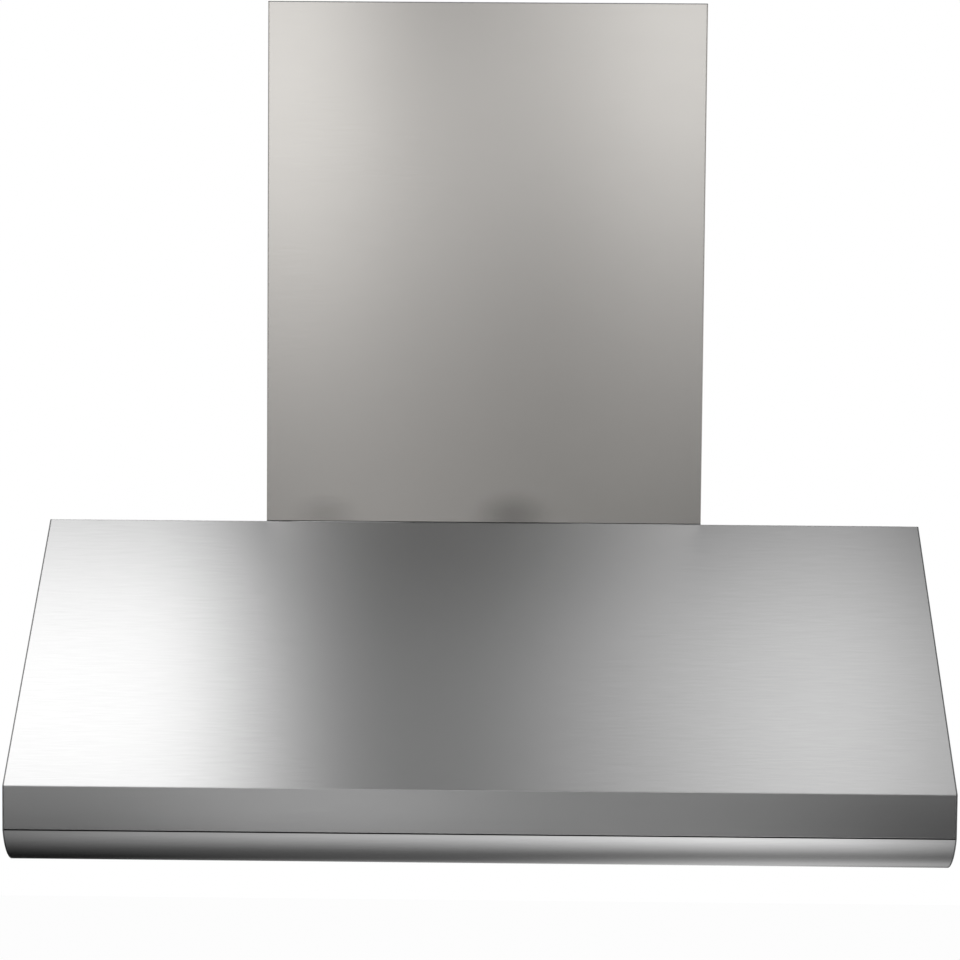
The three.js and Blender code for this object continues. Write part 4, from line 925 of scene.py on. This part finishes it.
def control(label, x, stops):
    """A knob with its pointer, and a mark on the panel at each of its stops, in degrees."""
    knob_grip(label, x)
    knob_pointer(label, x)
    dial_marks(label, x, stops)


# ------------------------------------------------------------------ duct collar
def duct_collar():
    """Rolled from one strip: a flanged foot, a stop ledge for the flaps, and a stiffening bead."""
    foot = CANOPY_HEIGHT + SEAM
    outer = DUCT_RADIUS
    inner = outer - SHEET
    ledge = CANOPY_HEIGHT + DAMPER_HEIGHT - FLAP_SHEET / 2 - SEAM
    bead, top = foot + COLLAR_HEIGHT * BEAD_PLACE, foot + COLLAR_HEIGHT
    flange = outer + COLLAR_FLANGE
    section = [(flange, foot), (flange, foot + SHEET), (outer + 1.6, foot + SHEET)]
    section += [(outer + 0.4, foot + SHEET + 0.5), (outer, foot + SHEET + 1.8), (outer, bead - 3)]
    round_bead = (0.5, 1.0, 1.57, 2.14, 2.64)
    section += [(outer + BEAD_RISE * sin(t), bead - BEAD_HALF * cos(t)) for t in round_bead]
    section += [(outer, bead + 3), (outer, top - 0.5), (outer - 0.4, top), (inner + 0.3, top)]
    section += [(inner, top - 0.4), (inner, ledge), (inner - FLAP_STOP, ledge)]
    section += [(inner - FLAP_STOP, ledge - SHEET), (inner, ledge - SHEET), (inner, foot)]

    def build(work):
        rings = []
        for a in circle(72):
            rings.append([place(r * sin(a), TOP_DEPTH / 2 + r * cos(a), v) for r, v in section])
        closed_ring(work, rings)

    add_piece("duct_collar_ring", build, zinc_steel, "hood", ["duct_collar"])


# ------------------------------------------------------------------ small fasteners
def fastener_heads(name, spots, head):
    """Domed heads that hold a piece down, from (x, u, v) and the way each head faces."""
    radius, height = head

    def build(work):
        for spot, facing in spots:
            dome(work, place(*spot), Vector(facing), radius, height)

    add_piece(name, build, zinc_screw, "hood", smooth=60)


def fasteners():
    up, down = (0, 0, 1), (0, 0, -1)
    flange = CANOPY_HEIGHT + SEAM + SHEET
    reach = DUCT_RADIUS + COLLAR_FLANGE * COLLAR_SCREW_PLACE
    turn = [2 * pi * (k + 0.5) / COLLAR_SCREWS for k in range(COLLAR_SCREWS)]
    collar = [((reach * sin(a), TOP_DEPTH / 2 + reach * cos(a), flange), up) for a in turn]
    fastener_heads("collar_screws", collar, SHEET_SCREW)
    clip_top = CANOPY_HEIGHT + SEAM + CLIP_SHEET
    clip_place = FLUE_WIDTH / 2 - SHEET - SEAM - CLIP_LEG * CLIP_SCREW_PLACE
    clips = []
    for side in (-1, 1):
        for along in (-CLIP_SCREW_SPREAD, CLIP_SCREW_SPREAD):
            clips.append(((side * clip_place, TOP_DEPTH / 2 + along, clip_top), up))
    fastener_heads("flue_clip_screws", clips, SHEET_SCREW)
    edge = STRIP_FRONT - PANEL_SCREW_INSET
    strip = [((x, edge, PANEL_HEIGHT), down) for x in PANEL_SCREW_PLACES]
    fastener_heads("light_panel_screws", strip, PANEL_SCREW)


# ------------------------------------------------------------------ finishes of the solids
# Keyed by how a node's name starts. The longest key that fits counts, and any other node is galvanised.
FINISHES = {
    "top_panel": canopy_steel,
    "light_panel": liner_steel,
    "rear_filter_rail": liner_steel,
    "front_filter_rail": liner_steel,
    "grease_tray": liner_steel,
    "baffle_filter": baffle_steel,
    "filter_handle": wire_steel,
    "lamp_housing": knob_steel,
    "lamp_lens": lens_glass,
    "fan_knob": knob_steel,
    "light_knob": knob_steel,
    "fan_knob_shaft": zinc_screw,
    "light_knob_shaft": zinc_screw,
    "fan_switch": black_nylon,
    "light_switch": black_nylon,
    "cable_bushing": black_nylon,
    "blower_motor": motor_enamel,
    "blower_shaft": zinc_screw,
    "damper_pin": zinc_screw,
    "damper_flap": flap_aluminium,
    "motor_capacitor": flap_aluminium,
    "motor_cable": cable_pvc,
    "control_cable": cable_pvc,
}


def finish_nodes():
    for name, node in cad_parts.items():
        keys = [key for key in FINISHES if name.startswith(key)]
        material = FINISHES[max(keys, key=len)] if keys else zinc_steel
        node.data.materials.clear()
        node.data.materials.append(material)


# ------------------------------------------------------------------ studio
CARD_LEVEL = 2.6  # glow of a card's lightest part
CARD_SIDE, CARD_NEAR, CARD_FAR = 3.2, -5.5, 3.0  # the cards' box in metres: its sides, front and rear
CARD_LOW, CARD_SHELF, CARD_HIGH = -1.34, -0.45, 2.4  # its bottom, the step in its front, and its top
WIDE = (2 * CARD_SIDE, 0, 0)  # a card's edge across the room
DEEP = (0, CARD_NEAR - CARD_FAR, 0)  # one from the rear to the front
ROOM_LIGHT = 0.75
FLOOR_HALF = 9.0  # metres
FLOOR_WHITE = 0.94  # share of plain white in what the camera sees of the floor; the rest is paint


def card(name, corner, right, up, across, upward, spots=()):
    """A large studio card that only reflections see, shaded along its width and its height.

    Each shade is a place in metres and a level. Each spot is a soft round light on the card, or a shade
    below zero: centre, radius and level."""
    start, wide, high = Vector(corner), Vector(right), Vector(up)
    work = bmesh.new()
    corners = (start, start + wide, start + wide + high, start + high)
    work.faces.new([work.verts.new(point) for point in corners])
    mesh = mesh_of(name, work)
    material, tree = new_material(name)
    where = add(tree, "ShaderNodeTexCoord").outputs["Object"]
    shares = []
    for edge, shades in ((right, across), (up, upward)):
        axis = [share != 0 for share in edge].index(True)
        stops = [((at - corner[axis]) / edge[axis], (level, level, level, 1)) for at, level in shades]
        off = add(tree, "ShaderNodeVectorMath", {0: where, 1: corner}, operation="SUBTRACT").outputs[0]
        inputs = {0: off, 1: Vector(edge) / Vector(edge).length_squared}
        along = add(tree, "ShaderNodeVectorMath", inputs, operation="DOT_PRODUCT").outputs["Value"]
        shares.append(add(tree, "ShaderNodeValToRGB", {"Fac": along}, stops).outputs["Color"])
    glow = add(tree, "ShaderNodeMath", {0: shares[0], 1: shares[1]}, operation="MULTIPLY").outputs[0]
    glow = add(tree, "ShaderNodeMath", {0: glow, 1: CARD_LEVEL}, operation="MULTIPLY").outputs[0]
    for centre, radius, level in spots:
        off = add(tree, "ShaderNodeVectorMath", {0: where, 1: centre}, operation="DISTANCE").outputs["Value"]
        inputs = {"Value": off, "From Min": 0.0, "From Max": radius, "To Min": level, "To Max": 0.0}
        soft = add(tree, "ShaderNodeMapRange", inputs, interpolation_type="SMOOTHSTEP").outputs["Result"]
        glow = add(tree, "ShaderNodeMath", {0: glow, 1: soft}, operation="ADD").outputs[0]
        glow = add(tree, "ShaderNodeMath", {0: glow, 1: 0.0}, operation="MAXIMUM").outputs[0]
    emission = add(tree, "ShaderNodeEmission", {"Strength": glow})
    add(tree, "ShaderNodeOutputMaterial", {"Surface": emission.outputs[0]})
    mesh.materials.append(material)
    piece = into_scene(name, mesh)
    piece.visible_camera = False
    piece.visible_diffuse = False
    piece.visible_shadow = False
    piece.visible_transmission = False


def softbox(name, position, target, size, power):
    """A round lamp that reflections don't see."""
    data = bpy.data.lights.new(name, "AREA")
    data.shape = "DISK"
    data.size = size
    data.energy = power
    light = into_scene(name, data)
    light.location = position
    aim = Vector(target) - Vector(position)
    light.rotation_euler = aim.to_track_quat("-Z", "Y").to_euler()
    light.visible_glossy = False


def bright_room():
    """A white world to the camera, in reflections and through glass, and a softer light for the rest."""
    scene = bpy.context.scene
    scene.view_settings.view_transform = "Standard"
    world = bpy.data.worlds.new("studio")
    scene.world = world
    world.use_nodes = True
    tree = world.node_tree
    tree.nodes.clear()
    path = add(tree, "ShaderNodeLightPath").outputs
    seen = path["Is Camera Ray"]
    for ray in ("Is Glossy Ray", "Is Transmission Ray"):
        seen = add(tree, "ShaderNodeMath", {0: seen, 1: path[ray]}, operation="MAXIMUM").outputs[0]
    white = add(tree, "ShaderNodeBackground", {"Color": (1, 1, 1, 1), "Strength": 1.0})
    room = add(tree, "ShaderNodeBackground", {"Color": (1, 1, 1, 1), "Strength": ROOM_LIGHT})
    mixed = add(tree, "ShaderNodeMixShader", {0: seen, 1: room.outputs[0], 2: white.outputs[0]})
    add(tree, "ShaderNodeOutputWorld", {"Surface": mixed.outputs[0]})


def pale_floor():
    """A plain floor that the camera sees nearly white, and that is clear from below."""
    level = -(HANG_HEIGHT + HOOD_ABOVE_FLOOR) / 1000
    work = bmesh.new()
    signs = ((-1, -1), (1, -1), (1, 1), (-1, 1))
    work.faces.new([work.verts.new((x * FLOOR_HALF, y * FLOOR_HALF, level)) for x, y in signs])
    mesh = mesh_of("floor", work)
    material, tree = new_material("floor_pale_paint")
    path = add(tree, "ShaderNodeLightPath").outputs
    paint = add(tree, "ShaderNodeBsdfDiffuse", {"Color": linear("f2f2f2")})
    glow = add(tree, "ShaderNodeEmission", {"Strength": 1.0})
    inputs = {0: path["Is Camera Ray"], 1: FLOOR_WHITE}
    seen = add(tree, "ShaderNodeMath", inputs, operation="MULTIPLY").outputs[0]
    mixed = add(tree, "ShaderNodeMixShader", {0: seen, 1: paint.outputs[0], 2: glow.outputs[0]})
    clear = add(tree, "ShaderNodeBsdfTransparent")
    under = add(tree, "ShaderNodeNewGeometry").outputs["Backfacing"]
    mixed = add(tree, "ShaderNodeMixShader", {0: under, 1: mixed.outputs[0], 2: clear.outputs[0]})
    add(tree, "ShaderNodeOutputMaterial", {"Surface": mixed.outputs[0]})
    mesh.materials.append(material)
    into_scene("floor", mesh)


def ceiling_card():
    """What the sloped front shows: white on the left, a dark band near the middle, grey on the right."""
    across = [(-3.2, 0.82), (-0.95, 0.84), (-0.8, 0.93), (-0.64, 0.55), (-0.48, 0.19), (-0.3, 0.09)]
    across += [(0.0, 0.125), (0.3, 0.28), (0.6, 0.45), (0.9, 0.59), (1.05, 0.46), (1.3, 0.28), (3.2, 0.4)]
    back = [(3.0, 0.2), (0.0, 0.08), (-0.45, 0.16), (-0.8, 0.98), (-0.95, 1.03), (-1.35, 0.95)]
    back += [(-1.75, 0.8), (-2.3, 0.45), (-5.5, 0.35)]
    spots = [
        ((-1.15, -0.5, CARD_HIGH), 0.7, 0.72),
        ((0.85, -0.5, CARD_HIGH), 0.5, 0.25),
        ((0.12, -0.95, CARD_HIGH), 0.6, 0.12),
        ((-0.75, -0.6, CARD_HIGH), 0.3, 0.5),
        ((0.45, -0.7, CARD_HIGH), 0.45, 0.18),
        ((0.05, -0.35, CARD_HIGH), 0.45, -0.75),
        ((1.22, -0.48, CARD_HIGH), 0.45, -0.45),
        ((-0.2, -1.35, CARD_HIGH), 0.3, 0.06),
    ]
    corner = (-CARD_SIDE, CARD_FAR, CARD_HIGH)
    card("ceiling_card", corner, WIDE, DEEP, across, back, spots)


def front_cards():
    """The upper one is what the flue cover shows, and the lower one what the fascia shows."""
    upward = [(-0.45, 0.03), (0.0, 0.06), (0.2, 0.145), (0.6, 0.13), (0.95, 0.07), (1.25, 0.4)]
    upward += [(1.6, 0.5), (2.0, 0.46), (2.4, 0.42)]
    spots = [
        ((-1.15, CARD_NEAR, 1.5), 0.95, 1.35),
        ((1.1, CARD_NEAR, 2.05), 1.05, 1.2),
        ((-0.45, CARD_NEAR, 2.15), 0.62, -1.2),
        ((-0.25, CARD_NEAR, 1.35), 0.5, 0.3),
        ((0.38, CARD_NEAR, 1.05), 0.6, -0.4),
        ((0.75, CARD_NEAR, 0.1), 0.5, 0.1),
    ]
    corner = (-CARD_SIDE, CARD_NEAR, CARD_SHELF)
    rise = (0, 0, CARD_HIGH - CARD_SHELF)
    card("front_card", corner, WIDE, rise, [(-3.2, 1), (3.2, 1)], upward, spots)

    across = [(-3.2, 0.4), (-1.6, 0.45), (-1.28, 0.42), (-1.12, 0.9), (-0.9, 1), (-0.47, 1), (0.0, 0.66)]
    across += [(0.4, 0.5), (0.8, 0.45), (1.2, 0.26), (1.45, 0.0), (3.2, 0.0)]
    upward = [(-1.34, 0.315), (-0.45, 0.28)]
    spots = [((-0.55, CARD_NEAR, -0.97), 0.7, 0.45)]
    corner = (-CARD_SIDE, CARD_NEAR, CARD_LOW)
    rise = (0, 0, CARD_SHELF - CARD_LOW)
    card("low_front_card", corner, WIDE, rise, across, upward, spots)


def floor_card():
    """What the nose and the underside show: brightest right of the middle, and in front of the hood."""
    across = [(-3.2, 0.07), (-0.95, 0.11), (-0.75, 0.21), (-0.4, 0.34), (0.0, 0.46), (0.45, 0.72)]
    across += [(0.65, 0.65), (0.85, 0.28), (1.1, 0.1), (3.2, 0.1)]
    back = [(3.0, 0.75), (1.5, 0.55), (0.8, 0.26), (0.2, 0.1), (-0.5, 0.1), (-1.0, 0.52), (-1.5, 1)]
    back += [(-1.9, 0.8), (-2.4, 0.2), (-3.0, 0.1), (-5.5, 0.1)]
    spots = [((0.7, 0.3, CARD_LOW), 0.85, 0.64), ((-1.1, 0.6, CARD_LOW), 1.2, -0.13)]
    corner = (-CARD_SIDE, CARD_FAR, CARD_LOW)
    card("floor_card", corner, WIDE, DEEP, across, back, spots)


def side_and_back_cards():
    back = [(3.0, 0.5), (0.8, 0.7), (0.2, 0.5), (-1.0, 0.36), (-2.6, 0.2), (-4.0, 0.5), (-5.5, 0.5)]
    upward = [(-1.34, 0.3), (0.2, 0.5), (2.4, 0.5)]
    rise = (0, 0, CARD_HIGH - CARD_LOW)
    for name, x in (("left_card", -CARD_SIDE), ("right_card", CARD_SIDE)):
        card(name, (x, CARD_FAR, CARD_LOW), DEEP, rise, back, upward)
    across = [(-3.2, 0.7), (-0.5, 1.0), (1.0, 0.6), (3.2, 0.8)]
    upward = [(-1.34, 0.35), (0.5, 0.5), (2.4, 0.6)]
    card("back_card", (-CARD_SIDE, CARD_FAR, CARD_LOW), WIDE, rise, across, upward)


def studio():
    bright_room()
    pale_floor()
    softbox("key_softbox", (-1.6, -2.6, 2.6), (0, -0.3, 0.1), 2.2, 60)
    softbox("fill_softbox", (2.2, -2.4, 1.2), (0, -0.3, 0.1), 2.0, 25)
    softbox("low_softbox", (0.2, -2.4, -1.1), (0, -0.3, -0.2), 1.8, 18)
    ceiling_card()
    front_cards()
    floor_card()
    side_and_back_cards()


photo_camera()
canopy()
flue_cover()
for number in range(1, FILTER_COUNT + 1):
    baffle_filter(number)
    filter_handle(number)
    lamp_unit(number)
grease_tray()
control("fan", -KNOB_SPACING / 2, (0, 60, 120, 180))
control("light", KNOB_SPACING / 2, (0, 90, 180, 270))
duct_collar()
fasteners()
finish_nodes()
studio()
